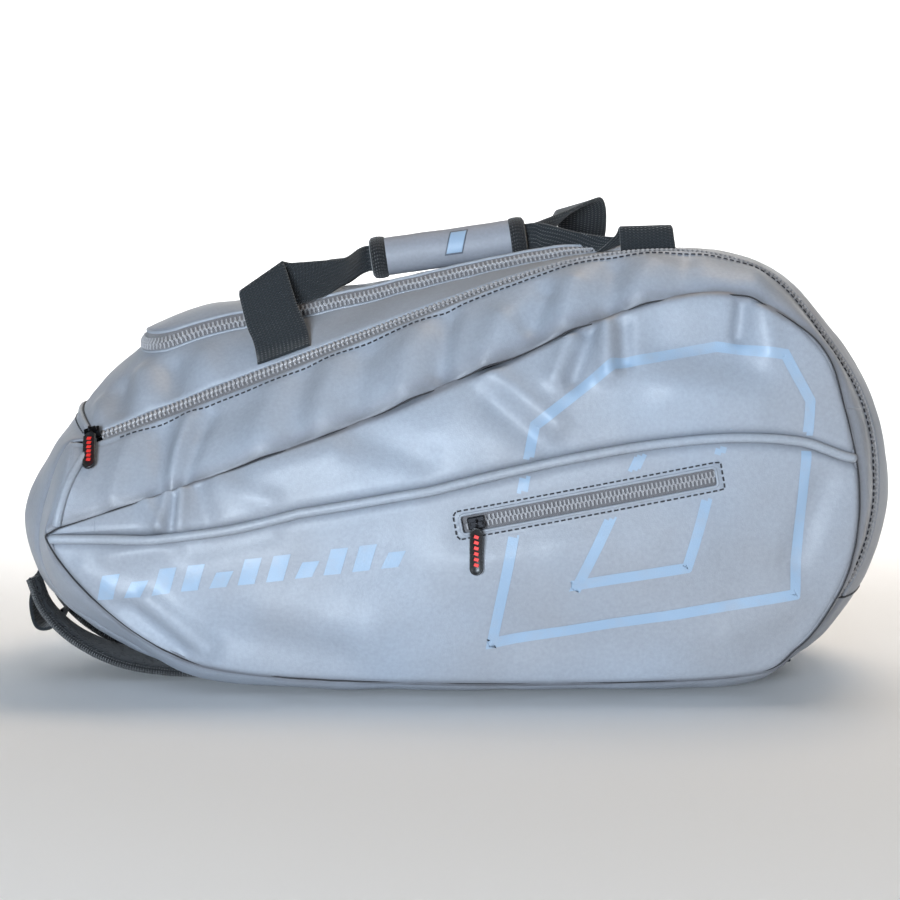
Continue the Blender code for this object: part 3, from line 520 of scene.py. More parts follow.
def side_relief(x, z, side):
    """Folds, seams and the pocket's welt on a side panel."""
    share, edge = seam_share(x, z)
    shift = 0.0 if side < 0 else 11.0
    above = z - crest_height(x)
    points = np.stack([x, np.full_like(x, side * 0.14), z], -1)
    inner = smooth((1 - share) * edge, 0.0, 0.006)
    relief = inner * (np.where(above > 0, fold_relief(x, z, UPPER_FOLDS, shift),
                               fold_relief(x, z, LOWER_FOLDS, shift)))
    relief += inner * (0.0012 * rumple(points, 0.060, 3.0) + 0.0004 * rumple(points, 0.024, 7.0))
    relief -= SEAM_DIP * bell((1 - share) * edge, SEAM_WIDTH)
    relief -= 0.0042 * bell(above, 0.0050)
    along, up = pocket_plane(x, z)
    beyond = np.hypot(np.maximum(np.abs(along) - POCKET_LENGTH / 2, 0), np.maximum(np.abs(up) - POCKET_HALF, 0))
    relief *= smooth(beyond, 0.0, 0.020) * 0.8 + 0.2
    relief += 0.0010 * bell(beyond - 0.0012, 0.0014) - 0.0009 * bell(beyond - POCKET_STITCH, 0.0010)
    return relief


def pocket_plane(x, z):
    """Coordinates along and across the pocket's zip, from its middle."""
    away = np.stack([x - POCKET_CENTRE[0], z - POCKET_CENTRE[1]], -1)
    cosine, sine = math.cos(POCKET_SLOPE), math.sin(POCKET_SLOPE)
    return away[..., 0] * cosine + away[..., 1] * sine, away[..., 1] * cosine - away[..., 0] * sine


def on_skin(t, y, lift=0.0):
    """Points and outward normals of the leather between the side seams."""
    t, y = np.broadcast_arrays(np.asarray(t, float), np.asarray(y, float))
    points = bare_skin(t, y)
    normals = skin_normal(t, y)
    return points + normals * (skin_relief(t, y, points) + lift)[..., None], normals


def on_side(x, z, side, lift=0.0):
    """Points and outward normals of the leather of a side panel."""
    x, z = np.broadcast_arrays(np.asarray(x, float), np.asarray(z, float))
    normals = side_normal(x, z, side)
    return bare_side(x, z, side) + normals * (side_relief(x, z, side) + lift)[..., None], normals


def flap_stand(x, y):
    """Share of its full height that the flap's edge stands at: none at the hinge, less on the far side."""
    return smooth(FLAP_HINGE_X - x, 0.0, 0.055) * (0.25 + 0.75 * smooth(-y, -0.020, 0.020))


def flap_swell(x, y):
    """How far the leather of the top flap stands above the crown."""
    inward = smooth(flap_edge_distance(x, y), 0.0, 0.016)
    hump = 0.0046 + 0.0034 * bell(x + 0.165, 0.055)
    return FLAP_EDGE_RISE * flap_stand(x, y) * (1 - inward) + hump * inward


def flap_edge_distance(x, y):
    """Distance inwards from the U-shaped edge of the top flap."""
    corner = FLAP_HALF * 0.62
    cx, cy = FLAP_LEFT + corner, FLAP_HALF - corner
    beyond = np.hypot(np.maximum(cx - x, 0), np.maximum(np.abs(y) - cy, 0))
    return corner - np.where((x < cx) | (np.abs(y) > cy), beyond, 0.0)


def crown_point(x, y):
    """Station of the crown above X at width Y."""
    low, high = np.full(np.shape(x), 2.0), np.full(np.shape(x), 13.0)
    for _ in range(28):
        middle = (low + high) / 2
        short = bare_skin(middle, y)[..., 0] < x
        low, high = np.where(short, middle, low), np.where(short, high, middle)
    return low


def on_crown(x, y, lift=0.0):
    x, y = np.broadcast_arrays(np.asarray(x, float), np.asarray(y, float))
    return on_skin(crown_point(x, y), y, lift)


# ------------------------------------------------------------------ mesh builders
def make_object(name, verts, faces, material, flat=None, seam=None, smooth_faces=True):
    """One mesh, with its resting and flat coordinates kept for the materials."""
    mesh = bpy.data.meshes.new(name)
    mesh.from_pydata(np.asarray(verts).tolist(), [], [tuple(f) for f in faces])
    mesh.polygons.foreach_set("use_smooth", [smooth_faces] * len(mesh.polygons))
    stored = {"rest": np.asarray(verts), "flat": flat}
    for label, values in stored.items():
        if values is not None:
            layer = mesh.attributes.new(label, "FLOAT_VECTOR", "POINT")
            layer.data.foreach_set("vector", np.asarray(values, np.float32).ravel())
    # seam holds painted shade along the seams, read by the leather material.
    if seam is not None:
        layer = mesh.attributes.new("seam", "FLOAT", "POINT")
        layer.data.foreach_set("value", np.asarray(seam, np.float32).ravel())
    mesh.materials.append(material)
    item = bpy.data.objects.new(name, mesh)
    bpy.context.scene.collection.objects.link(item)
    return item


def grid_faces(rows, columns, start=0, wrap=False):
    """Four-sided faces over a grid of points, closed across its columns if wrap is set."""
    across = columns if wrap else columns - 1
    i, j = np.meshgrid(np.arange(rows - 1), np.arange(across), indexing="ij")
    k = (j + 1) % columns
    quads = np.stack([i * columns + j, i * columns + k, (i + 1) * columns + k, (i + 1) * columns + j], -1)
    return quads.reshape(-1, 4) + start


def lengths(points, axis):
    """Running length along one axis of a grid of points."""
    steps = np.linalg.norm(np.diff(points, axis=axis), axis=-1)
    pad = np.zeros_like(np.take(steps, [0], axis))
    return np.concatenate([pad, np.cumsum(steps, axis)], axis)


def slab(name, outer, normals, thickness, material, seam=None, flat_across=None):
    """A closed sheet with a rounded rim: outer is a grid of points, thickened against normals."""
    rows, columns = outer.shape[:2]
    inner = outer - normals * thickness
    middle = (outer + inner) / 2
    ring = [(i, 0) for i in range(rows)] + [(rows - 1, j) for j in range(1, columns)]
    ring += [(i, columns - 1) for i in range(rows - 2, -1, -1)] + [(0, j) for j in range(columns - 2, 0, -1)]
    rim = []
    for i, j in ring:
        out = np.zeros(3)
        if i in (0, rows - 1):
            out += unit(outer[i, j] - outer[1 if i == 0 else rows - 2, j])
        if j in (0, columns - 1):
            out += unit(outer[i, j] - outer[i, 1 if j == 0 else columns - 2])
        rim.append(middle[i, j] + unit(out) * thickness * 0.42)
    verts = np.concatenate([outer.reshape(-1, 3), inner.reshape(-1, 3), np.array(rim)])
    top = grid_faces(rows, columns)
    count = rows * columns
    face_normal = np.cross(outer[rows // 2, columns // 2] - outer[rows // 2 - 1, columns // 2],
                           outer[rows // 2, columns // 2] - outer[rows // 2, columns // 2 - 1])
    if face_normal @ normals[rows // 2, columns // 2] > 0:
        top = top[:, ::-1]
    bottom = top[:, ::-1] + count
    index = np.array([i * columns + j for i, j in ring])
    following = np.roll(index, -1)
    edge = np.arange(len(ring)) + 2 * count
    edge_next = np.roll(edge, -1)
    upper = np.stack([index, following, edge_next, edge], -1)
    under = np.stack([edge, edge_next, following + count, index + count], -1)
    winding = {tuple(sorted(pair)): pair for face in top[:columns * 2] for pair in zip(face, np.roll(face, -1))}
    first = winding.get(tuple(sorted((index[0], following[0]))))
    if first is not None and tuple(first) == (index[0], following[0]):
        upper, under = upper[:, ::-1], under[:, ::-1]
    faces = np.concatenate([top, bottom, upper, under])
    flat = None
    if flat_across is not None:
        along = lengths(outer, 0)
        over = lengths(outer, 1)
        grid = np.stack([along, over, np.zeros_like(along)], -1)
        sheet = grid.reshape(-1, 3)
        flat = np.concatenate([sheet, sheet, np.array([grid[i, j] for i, j in ring])])
    shade = None
    # seam is painted shade; the inner face gets none.
    if seam is not None:
        shade = np.concatenate([seam.ravel(), seam.ravel() * 0, np.array([seam[i, j] for i, j in ring])])
    return make_object(name, verts, faces, material, flat, shade)


def spline(points, steps):
    """A Catmull-Rom curve through points, steps to a span."""
    points = np.asarray(points, float)
    padded = np.concatenate([[2 * points[0] - points[1]], points, [2 * points[-1] - points[-2]]])
    path = []
    for k in range(1, len(padded) - 2):
        a, b, c, d = padded[k - 1:k + 3]
        u = (np.arange(steps) / steps)[:, None]
        path.append(0.5 * (2 * b + (c - a) * u + (2 * a - 5 * b + 4 * c - d) * u ** 2
                           + (3 * b - a - 3 * c + d) * u ** 3))
    return np.concatenate(path + [points[-1:]])


def even(points, spacing):
    """The same line with its points spacing apart. Columns past the third ride along."""
    points = np.asarray(points)
    run = lengths(points[:, :3], 0)
    count = max(2, int(round(run[-1] / spacing)) + 1)
    where = np.linspace(0, run[-1], count)
    return np.stack([np.interp(where, run, points[:, k]) for k in range(points.shape[1])], -1)


def tangents(points):
    return unit(np.gradient(points, axis=0))


def tube(name, points, radius, material, out, sides=10):
    """A round cord along points. out is the direction away from the bag at each point."""
    along = tangents(points)
    out = unit(out - along * (out * along).sum(-1, keepdims=True))
    over = np.cross(along, out)
    angles = np.arange(sides) / sides * math.tau
    turn = angles[None, :, None]
    ring = np.cos(turn) * over[:, None] + np.sin(turn) * out[:, None]
    radii = np.broadcast_to(np.asarray(radius, float), (len(points),))
    verts = points[:, None] + ring * radii[:, None, None]
    count = len(points)
    caps = np.stack([points[0] - along[0] * radii[0] * 0.6, points[-1] + along[-1] * radii[-1] * 0.6])
    faces = [tuple(f) for f in grid_faces(count, sides, wrap=True)]
    first, last = count * sides, count * sides + 1
    for k in range(sides):
        n = (k + 1) % sides
        faces.append((first, n, k))
        faces.append((last, (count - 1) * sides + k, (count - 1) * sides + n))
    run = lengths(points, 0)
    flat = np.stack([np.repeat(run, sides), (radii[:, None] * angles).ravel(), np.zeros(count * sides)], -1)
    flat = np.concatenate([flat, np.zeros((2, 3))])
    return make_object(name, np.concatenate([verts.reshape(-1, 3), caps]), faces, material, flat)


def stamp(name, shape, faces, places, material, flat=None):
    """Copies of one small shape in one mesh. places are (origin, X, Y, Z) frames as arrays."""
    origin, x_axis, y_axis, z_axis = places
    verts = (origin[:, None] + shape[None, :, 0:1] * x_axis[:, None] + shape[None, :, 1:2] * y_axis[:, None]
             + shape[None, :, 2:3] * z_axis[:, None])
    count = len(shape)
    all_faces = [tuple(i + k * count for i in face) for k in range(len(origin)) for face in faces]
    flat = np.tile(shape, (len(origin), 1))
    return make_object(name, verts.reshape(-1, 3), all_faces, material, flat, smooth_faces=False)


def block(length, width, height, chamfer):
    """A small block with a chamfered top, standing on the local XY plane."""
    verts = []
    for x, y, z in ((length, width, 0.0), (length, width, height - chamfer),
                    (length - 2 * chamfer, width - 2 * chamfer, height)):
        verts += [(x / 2, y / 2, z), (-x / 2, y / 2, z), (-x / 2, -y / 2, z), (x / 2, -y / 2, z)]
    faces = [(8, 9, 10, 11), (3, 2, 1, 0)]
    for low in (0, 4):
        faces += [(low + k, low + (k + 1) % 4, low + 4 + (k + 1) % 4, low + 4 + k) for k in range(4)]
    return np.array(verts), faces


def dashes(name, points, out, material, pitch=0.0043, length=0.0028, width=0.0010):
    """A row of stitches along a line, each bedded in the leather."""
    line = even(np.concatenate([points, out], -1), pitch)
    middle = (line[1:] + line[:-1]) / 2
    along = unit(line[1:, :3] - line[:-1, :3])
    normal = unit(middle[:, 3:])
    over = unit(np.cross(normal, along))
    shape, faces = block(length, width, width * 0.8, width * 0.3)
    shape = shape - np.array((0, 0, width * 0.25))
    return stamp(name, shape, faces, (middle[:, :3], along, over, np.cross(along, over)), material)


def teeth_row(name, centre, out, towards, pitch=0.0031, offset=0.0, width=0.0040, material=None):
    """One row of zip teeth along centre. towards points from the tape to the other row."""
    line = even(np.concatenate([centre, out, towards], -1), pitch)
    along = tangents(line[:, :3])
    origin = line[:, :3] + along * offset * pitch
    normal = unit(line[:, 3:6])
    over = unit(np.cross(normal, along))
    hand = np.sign((over * line[:, 6:9]).sum(-1))[:, None]
    neck, faces = block(pitch * 0.42, width, 0.0014, 0.0003)
    head, head_faces = block(pitch * 0.66, width * 0.40, 0.0020, 0.0005)
    head = head + np.array((0, width * 0.32, 0))
    shape = np.concatenate([neck, head])
    faces = faces + [tuple(i + len(neck) for i in face) for face in head_faces]
    return stamp(name, shape, faces, (origin, along, over * hand, normal), material)


def join(name, items):
    """One object out of several, keeping their attributes and materials."""
    for item in bpy.context.selected_objects:
        item.select_set(False)
    for item in items:
        item.select_set(True)
    bpy.context.view_layer.objects.active = items[0]
    bpy.ops.object.join()
    items[0].name = name
    items[0].data.name = name
    return items[0]


def cut(item, cutter):
    """Takes cutter out of item for good."""
    modifier = item.modifiers.new("cut", "BOOLEAN")
    modifier.operation = "DIFFERENCE"
    modifier.solver = "EXACT"
    modifier.object = cutter
    bpy.context.view_layer.update()
    graph = bpy.context.evaluated_depsgraph_get()
    made = bpy.data.meshes.new_from_object(item.evaluated_get(graph))
    item.modifiers.clear()
    old = item.data
    item.data = made
    made.name = item.name
    bpy.data.meshes.remove(old)
    bpy.data.objects.remove(cutter, do_unlink=True)


def prism(loop, low, high, matrix=None):
    """A closed upright prism over a loop of XY points, for cutting."""
    count = len(loop)
    verts = [(x, y, low) for x, y in loop] + [(x, y, high) for x, y in loop]
    faces = [tuple(range(count - 1, -1, -1)), tuple(range(count, 2 * count))]
    faces += [(k, (k + 1) % count, count + (k + 1) % count, count + k) for k in range(count)]
    item = make_object("cutter", np.array(verts), faces, BODY)
    if matrix is not None:
        item.data.transform(matrix)
    return item


# ------------------------------------------------------------------ how pieces hang on the frame
LID_FOLD_LEAN = 0.047


def ride(item, body, slot, *nodes):
    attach(item, body)
    if nodes:
        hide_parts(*nodes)
    return item


def bend_with_lid(item, side, slot, *nodes):
    """Leather along the lid: bakes its transform into the mesh and hides the CAD nodes it replaces. It does not
    turn with the lid.
    """
    lean = np.array((-LID_FOLD_LEAN, 0.0, 1.0))
    lean /= np.linalg.norm(lean)
    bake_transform(item)
    if nodes:
        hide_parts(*nodes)
    return item


def ride_by_label(item, label, side, slot):
    """Bakes an upper piece in place through bend_with_lid. Every other piece goes with the body."""
    if label == "upper":
        bend_with_lid(item, side, slot)
    else:
        ride(item, "root", slot)


def bend_with_flap(item, slot, *nodes):
    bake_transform(item)
    if nodes:
        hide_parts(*nodes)
    return item


# ------------------------------------------------------------------ the leather shell
def skin_slab(name, t_from, t_to, y_from, y_to, rows, columns, thickness=LEATHER_THICK):
    """A sewn panel of the skin. y_from and y_to are widths, or functions of the station."""
    t = np.linspace(t_from, t_to, rows)
    first, last = (edge(t) if callable(edge) else np.full(rows, edge) for edge in (y_from, y_to))
    y = first[:, None] + (last - first)[:, None] * np.linspace(0, 1, columns)[None, :]
    t = t[:, None] + 0 * y
    points, normals = on_skin(t, y)
    wide = np.abs(y)
    # Painted shade along the side seams and the back panel's seams, handed to the leather as its seam
    # attribute.
    shade = np.maximum(bell(SEAM_Y - wide, 0.004), 0.7 * bell(wide - ZIP_Y, 0.0035) * (t > ZIP_END))
    return slab(name, points, normals, thickness, BODY, shade)


def flap_outline(half_width, steps=14):
    """The U of the flap's edge at a half width: from the hinge on one side to the other."""
    left = FLAP_LEFT - (half_width - FLAP_HALF)
    corner = half_width * 0.62
    angles = np.linspace(0, math.pi / 2, steps)
    near = np.stack([np.linspace(FLAP_HINGE_X, left + corner, 60), np.full(60, -half_width)], -1)
    arc = np.stack([left + corner - corner * np.sin(angles),
                    -half_width + corner - corner * np.cos(angles)], -1)
    first = np.concatenate([near, arc[1:]])
    cross = np.stack([np.full(14, left), np.linspace(first[-1, 1], -first[-1, 1], 14)], -1)[1:-1]
    return np.concatenate([first, cross, first[::-1] * np.array((1, -1))])


def crown_and_flap():
    crown = skin_slab("crown_leather", CROWN_START + 0.02, ZIP_END - 0.02, lambda t: -zip_y(t, CROWN_EDGE),
                      lambda t: zip_y(t, CROWN_EDGE), 230, 70)
    hole = flap_outline(0.0500)
    cut(crown, prism(hole, 0.15, 0.45))
    ride(crown, "root", "body_leather", "crown_panel")

    # The flap is laid out as rings that shrink from its U-shaped edge to a spine along its middle.
    rings = 26
    edge = flap_outline(FLAP_HALF - 0.0006)
    spine = np.stack([np.clip(edge[:, 0], FLAP_LEFT + FLAP_HALF * 0.9, None), np.zeros(len(edge))], -1)
    share = np.linspace(0, 1, rings)[None, :, None] ** 0.85
    xy = edge[:, None] * (1 - share) + spine[:, None] * share
    x, y = xy[..., 0], xy[..., 1]
    points, normals = on_crown(x, y)
    swell = flap_swell(x, y) + 0.0012 * rumple(points, 0.05, 9.0)
    points = points + normals * (swell + 0.0006)[..., None]
    # Painted shade along the raised edge of the flap.
    shade = bell(flap_edge_distance(x, y), 0.0025) * 0.6
    near = slab("flap_leather", points, normals, LEATHER_THICK, BODY, shade)
    bend_with_flap(near, "body_leather", "flap_panel")

    edge_line, edge_out = on_crown(hole[:, 0], hole[:, 1], -0.0004)
    roll = tube("flap_opening_roll", edge_line, 0.0013, CORDING, edge_out)
    ride(roll, "root", "body_leather")
    lift = FLAP_EDGE_RISE * flap_stand(edge[:, 0], edge[:, 1])
    flap_edge, flap_out = on_crown(edge[:, 0], edge[:, 1], lift)
    roll = tube("flap_edge_roll", flap_edge, 0.0012, CORDING, flap_out)
    bend_with_flap(roll, "body_leather")

    for name, widths, lifts, offset, moving in (
            ("flap_zip_fixed", (0.0512, 0.0475), (-0.0010, 0.0034), 0.0, False),
            ("flap_zip_moving", (0.0430, 0.0473), (0.0074, 0.0036), 0.5, True)):
        lines = np.stack([flap_outline(w) for w in np.linspace(*widths, 5)], 1)
        base, up = on_crown(lines[..., 0], lines[..., 1])
        lift = np.linspace(*lifts, 5)[None] * flap_stand(lines[..., 0], lines[..., 1])
        points = base + up * lift[..., None]
        normals = unit(np.cross(np.gradient(points, axis=0), np.gradient(points, axis=1)))
        normals = normals * np.sign((normals * up).sum(-1, keepdims=True))
        tape = slab(name + "_tape", points, normals, TAPE_THICK, TAPE, flat_across=True)
        teeth = teeth_row(name + "_teeth", points[:, 3], normals[:, 3], points[:, 4] - points[:, 3],
                          offset=offset, material=TEETH)
        whole = join(name, [tape, teeth])
        if moving:
            bend_with_flap(whole, "zip_grey", name + "_half")
        else:
            ride(whole, "root", "zip_grey", name + "_half")


def ends_and_back():
    edge = ZIP_Y - 0.0006
    back = skin_slab("back_leather", ZIP_END, BACK_END, -edge, edge, 130, 60)
    ride(back, "root", "back_leather", "back_panel")
    left = skin_slab("narrow_end_leather", BACK_END, GIRTH + CROWN_START, -edge, edge, 80, 60)
    ride(left, "root", "body_leather", "left_end_panel")
    y = np.linspace(-0.1292, 0.1292, 240)
    outer = np.clip((np.abs(y) - 0.0860) / (0.1292 - 0.0860), 0, 1)
    t = CROWN_START + (NARROW_SEAM - CROWN_START) * smooth(outer, 0.0, 1.0)
    points, out = on_skin(t, y, 0.0008)
    radius = 0.0017 + 0.0012 * smooth(outer, 0.02, 0.25)
    ride(tube("narrow_end_piping", points, radius, CORDING, out), "root", "piping_leather")
    # A dark cord of painted shadow in the seam beside the narrow end's piping.
    seam_line, out = on_skin(t + 0.055, y, 0.0004)
    ride(tube("narrow_end_seam", seam_line, SEAM_RADIUS_THIN, SEAM_SHADOW_CORD, out), "root", "piping_leather")
    points, out = on_skin(np.full(70, GIRTH + CROWN_START - 0.16), np.linspace(-0.080, 0.080, 70))
    ride(dashes("narrow_end_stitches", points, out, THREAD), "root", "piping_leather")
    # Dark cords of painted shadow in the seams at the wide end and at the heel.
    for t_seam, label in ((ZIP_END, "wide_end"), (BACK_END, "heel")):
        points, out = on_skin(np.full(70, t_seam), np.linspace(-edge, edge, 70), -0.0002)
        ride(tube(label + "_seam", points, SEAM_RADIUS_THICK, SEAM_SHADOW_CORD, out), "root", "piping_leather")


def side_shell(side, name):
    seam_edge = SEAM_Y - 0.0003
    def beside_zip(t):
        return side * zip_y(t, GUSSET_EDGE)

    upper = skin_slab(name + "_upper_gusset_leather", NARROW_SEAM, LID_END, beside_zip, side * seam_edge,
                      320, 26)
    bend_with_lid(upper, side, "body_leather", name + "_upper_gusset")
    base = skin_slab(name + "_base_gusset_leather", ZIP_END, GIRTH + NARROW_SEAM, side * (ZIP_Y + 0.0004),
                     side * seam_edge, 230, 24)
    tail = skin_slab(name + "_wide_gusset_leather", LID_END, ZIP_END, beside_zip, side * seam_edge, 70, 22)
    ride(base, "root", "body_leather", name + "_base_gusset")
    ride(tail, "root", "body_leather")

    rows, columns = 300, 46
    share = np.linspace(0, 1, rows)[:, None]
    rise = np.linspace(0, 1, columns)[None, :]
    seam = rails(LID_START + (LID_END - LID_START) * share)[..., 4:6]
    x = seam[..., 0] + 0 * rise
    low = crest_height(x) + 0.0012
    z = low + np.maximum(seam[..., 1] - low, 0.0004) * rise
    points, normals = on_side(x, z, side)
    share_seam, edge = seam_share(x, z)
    # Painted shade along the panel's outer seam and along the corded seam.
    shade = np.maximum(bell((1 - share_seam) * edge, 0.004), bell(z - crest_height(x), 0.004))
    panel = slab(name + "_upper_panel_leather", points, normals, LEATHER_THICK, BODY, shade)
    bend_with_lid(panel, side, "body_leather", name + "_upper_panel")

    rows, columns = 300, 80
    share = np.linspace(0, 1, rows)[:, None]
    drop = np.linspace(0, 1, columns)[None, :]
    seam = rails(LID_END + (GIRTH + LID_START - LID_END) * share)[..., 4:6]
    first = rails(LID_END)[4]
    last = rails(LID_START)[4]
    x_top = first + (last - first) * share
    z_top = crest_height(x_top) - 0.0012
    x = x_top + (seam[..., 0] - x_top) * drop
    z = z_top + (seam[..., 1] - z_top) * drop
    points, normals = on_side(x, z, side)
    share_seam, edge = seam_share(x, z)
    # Painted shade along the panel's outer seam and along the corded seam.
    shade = np.maximum(bell((1 - share_seam) * edge, 0.004), bell(z - crest_height(x), 0.004))
    panel = slab(name + "_lower_panel_leather", points, normals, LEATHER_THICK, BODY, shade)
    opening = round_rect(POCKET_LENGTH / 2, POCKET_HALF, POCKET_CORNER)
    cut(panel, prism(opening, -0.03, 0.03, pocket_matrix(side)))
    ride(panel, "root", "body_leather", name + "_lower_panel")

    x = np.linspace(CREST[0, 0], CREST[-1, 0], 200)
    points, out = on_side(x, crest_height(x), side, PIPING_LIFT)
    cord = tube(name + "_piping_cord", points, PIPING_RADIUS, CORDING, out, 14)
    ride(cord, "root", "piping_leather", name + "_piping")

    # Dark cords of painted shadow along the side seams.
    for label, t_from, t_to in (("upper", LID_START, LID_END), ("lower", LID_END, GIRTH + LID_START)):
        t = np.linspace(t_from, t_to, 260)
        points, out = on_skin(t, np.full(260, side * SEAM_Y), 0.0002)
        thread = tube(name + "_" + label + "_seam", points, SEAM_RADIUS_THIN, SEAM_SHADOW_CORD, out, 6)
        ride_by_label(thread, label, side, "piping_leather")

    for label, t_from, t_to in (("upper", LID_START + 0.1, LID_END), ("wide", LID_END, ZIP_END - 0.3)):
        t = np.linspace(t_from, t_to, 400)
        points, out = on_skin(t, side * zip_y(t, ZIP_STITCH), STITCH_LIFT)
        row = dashes(name + "_" + label + "_gusset_stitches", points, out, THREAD)
        ride_by_label(row, label, side, "piping_leather")


def racket_zip(side, name):
    """Tapes and teeth of one long zip: a fixed half, and an outer half along the lid and the wide end."""
    def half(label, t_from, t_to, hand):
        rows = int((t_to - t_from) * 30)
        line = np.linspace(t_from, t_to, rows)
        edge = -0.0085 if hand < 0 else 0.0100
        offsets = np.linspace(hand * 0.0002, edge, 6)
        y = np.stack([side * zip_y(line, offset) for offset in offsets], 1)
        points, normals = on_skin(line[:, None] + 0 * y, y, -0.0014)
        tape = slab(name + label + "_tape", points, normals, 0.0008, TAPE, flat_across=True)
        middle, out = on_skin(line, side * zip_y(line, hand * TOOTH_ROW), -0.0014)
        other = on_skin(line, side * zip_y(line, 0.0))[0] - middle
        teeth = teeth_row(name + label + "_teeth", middle, out, other, offset=0.25 * hand, material=TEETH)
        return join(name + label, [tape, teeth])

    fixed = half("_zip_fixed", CROWN_START + 0.05, ZIP_END, -1)
    ride(fixed, "root", "zip_grey", name + "_zip_fixed_half")
    moving = half("_zip_moving", LID_START - 0.16, LID_END, 1)
    bend_with_lid(moving, side, "zip_grey", name + "_zip_moving_half")
    ride(half("_zip_wide", LID_END, ZIP_END, 1), "root", "zip_grey")


# ------------------------------------------------------------------ pocket
def round_rect(half_x, half_y, radius, steps=6):
    loop = []
    for quarter, (sx, sy) in enumerate(((1, 1), (-1, 1), (-1, -1), (1, -1))):
        for k in range(steps + 1):
            angle = math.pi / 2 * (quarter + k / steps)
            loop.append((sx * (half_x - radius) + radius * math.cos(angle),
                         sy * (half_y - radius) + radius * math.sin(angle)))
    return loop


def pocket_matrix(side):
    x, z = POCKET_CENTRE
    at = Vector(bare_side(np.array(x), np.array(z), side))
    along = Vector((math.cos(POCKET_SLOPE), 0.0, math.sin(POCKET_SLOPE)))
    out = Vector((0.0, float(side), 0.0))
    over = out.cross(along)
    return Matrix(((along.x, over.x, out.x, at.x), (along.y, over.y, out.y, at.y),
                   (along.z, over.z, out.z, at.z), (0, 0, 0, 1)))


def pocket_to_xz(along, up):
    cosine, sine = math.cos(POCKET_SLOPE), math.sin(POCKET_SLOPE)
    return POCKET_CENTRE[0] + along * cosine - up * sine, POCKET_CENTRE[1] + along * sine + up * cosine


def pocket(side, name):
    half = POCKET_LENGTH / 2
    loop = np.array(round_rect(half, POCKET_HALF, POCKET_CORNER))
    closed = even(np.concatenate([loop, loop[:1]]), 0.0015)
    x, z = pocket_to_xz(closed[:, 0], closed[:, 1])
    points, out = on_side(x, z, side, 0.0001)
    ride(tube(name + "_pocket_welt", points, 0.0010, CORDING, out, 8), "root", "body_leather")

    loop = np.array(round_rect(half + POCKET_STITCH + 0.001, POCKET_HALF + POCKET_STITCH, 0.0006, 1))
    closed = even(np.concatenate([loop, loop[:1]]), 0.0010)
    x, z = pocket_to_xz(closed[:, 0], closed[:, 1])
    points, out = on_side(x, z, side, STITCH_LIFT)
    ride(dashes(name + "_pocket_stitches", points, out, THREAD), "root", "piping_leather")

    items = []
    for up_from, up_to, row, aim, offset in ((-0.0085, -0.0003, -TOOTH_ROW, 1, 0.0),
                                             (0.0003, 0.0085, TOOTH_ROW, -1, 0.5)):
        a, b = np.meshgrid(np.linspace(-half, half, 90), np.linspace(up_from, up_to, 6), indexing="ij")
        x, z = pocket_to_xz(a, b)
        points, normals = on_side(x, z, side, -0.0030)
        items.append(slab(name + "_pocket_tape", points, normals, TAPE_THICK, TAPE, flat_across=True))
        a = np.linspace(-half + 0.004, half - 0.002, 90)
        x, z = pocket_to_xz(a, np.full(90, row))
        middle, out = on_side(x, z, side, -0.0028)
        x, z = pocket_to_xz(a, np.full(90, row + aim * 0.001))
        items.append(teeth_row(name + "_pocket_teeth", middle, out, on_side(x, z, side, -0.0028)[0] - middle,
                               pitch=0.0027, offset=offset, width=0.0038, material=TEETH))
    ride(join(name + "_pocket_zipper", items), "root", "zip_grey", name + "_pocket_zip")


# ------------------------------------------------------------------ straps
def ribbon(name, stops, thickness, material, steps=10, across=8, lowest=None):
    """A flat strap through stops, each a middle and half width vector."""
    middles = spline([s[0] for s in stops], steps)
    halves = spline([s[1] for s in stops], steps)
    if lowest is not None:
        middles[:, 2] = np.maximum(middles[:, 2], lowest)
    v = np.linspace(-1, 1, across + 1)
    grid = middles[:, None] + halves[:, None] * v[None, :, None]
    along = np.gradient(grid, axis=0)
    over = np.gradient(grid, axis=1)
    normals = unit(np.cross(along, over))
    return slab(name, grid + normals * thickness / 2, normals, thickness, material, flat_across=True)


WRAP_MIDDLE = np.array((-0.005, -0.020, 0.2980))
WRAP_TILT = math.radians(8.0)
WRAP_LENGTH = 0.106
WRAP_ALONG = np.array((math.cos(WRAP_TILT), 0, math.sin(WRAP_TILT)))
WRAP_UP = np.array((-math.sin(WRAP_TILT), 0, math.cos(WRAP_TILT)))


# Shape of each carrying strap, in millimetres: middle and half width vector at each stop.
NEAR_STRAP_IN = (
    ((-114.5, -84, 225.5), (16.8, 0, 6.2)), ((-115.5, -79.5, 231), (17.0, 0, 5.8)),
    ((-118, -77, 240), (16.9, 0, 5.6)),
    ((-123, -74, 251), (16.2, 0, 7.0)), ((-129, -70.5, 271), (15.0, 0, 9.4)),
    ((-130.5, -68.8, 276.4), (14.4, 0.3, 10.0)), ((-129.5, -66.2, 276.6), (14.3, 0.5, 10.2)),
    ((-123, -63.5, 273.5), (11.0, 0.5, 12.6)), ((-109, -59, 272.5), (3.0, -0.5, 13.8)),
    ((-92, -51, 276), (-1.5, -2.5, 11.4)), ((-77, -40, 281), (0.5, -3.0, 8.6)))
NEAR_STRAP_OUT = (
    ((62, -27, 304.5), (0.0, 1.0, 9.2)), ((80, -38, 299.5), (2.0, -3.5, 8.0)),
    ((96, -49, 296.5), (8.0, -4.5, 7.5)), ((112, -58, 300), (13.5, -3.0, 4.5)),
    ((124, -65.5, 306.5), (16.2, -1.0, 1.8)), ((126.5, -70, 310.2), (16.8, 0, 0.6)),
    ((127, -73.6, 308.5), (17.0, 0, 0.4)), ((127.5, -75.2, 302), (17.2, 0, 0.8)),
    ((128.5, -75.5, 293.5), (17.4, 0, 1.2)))
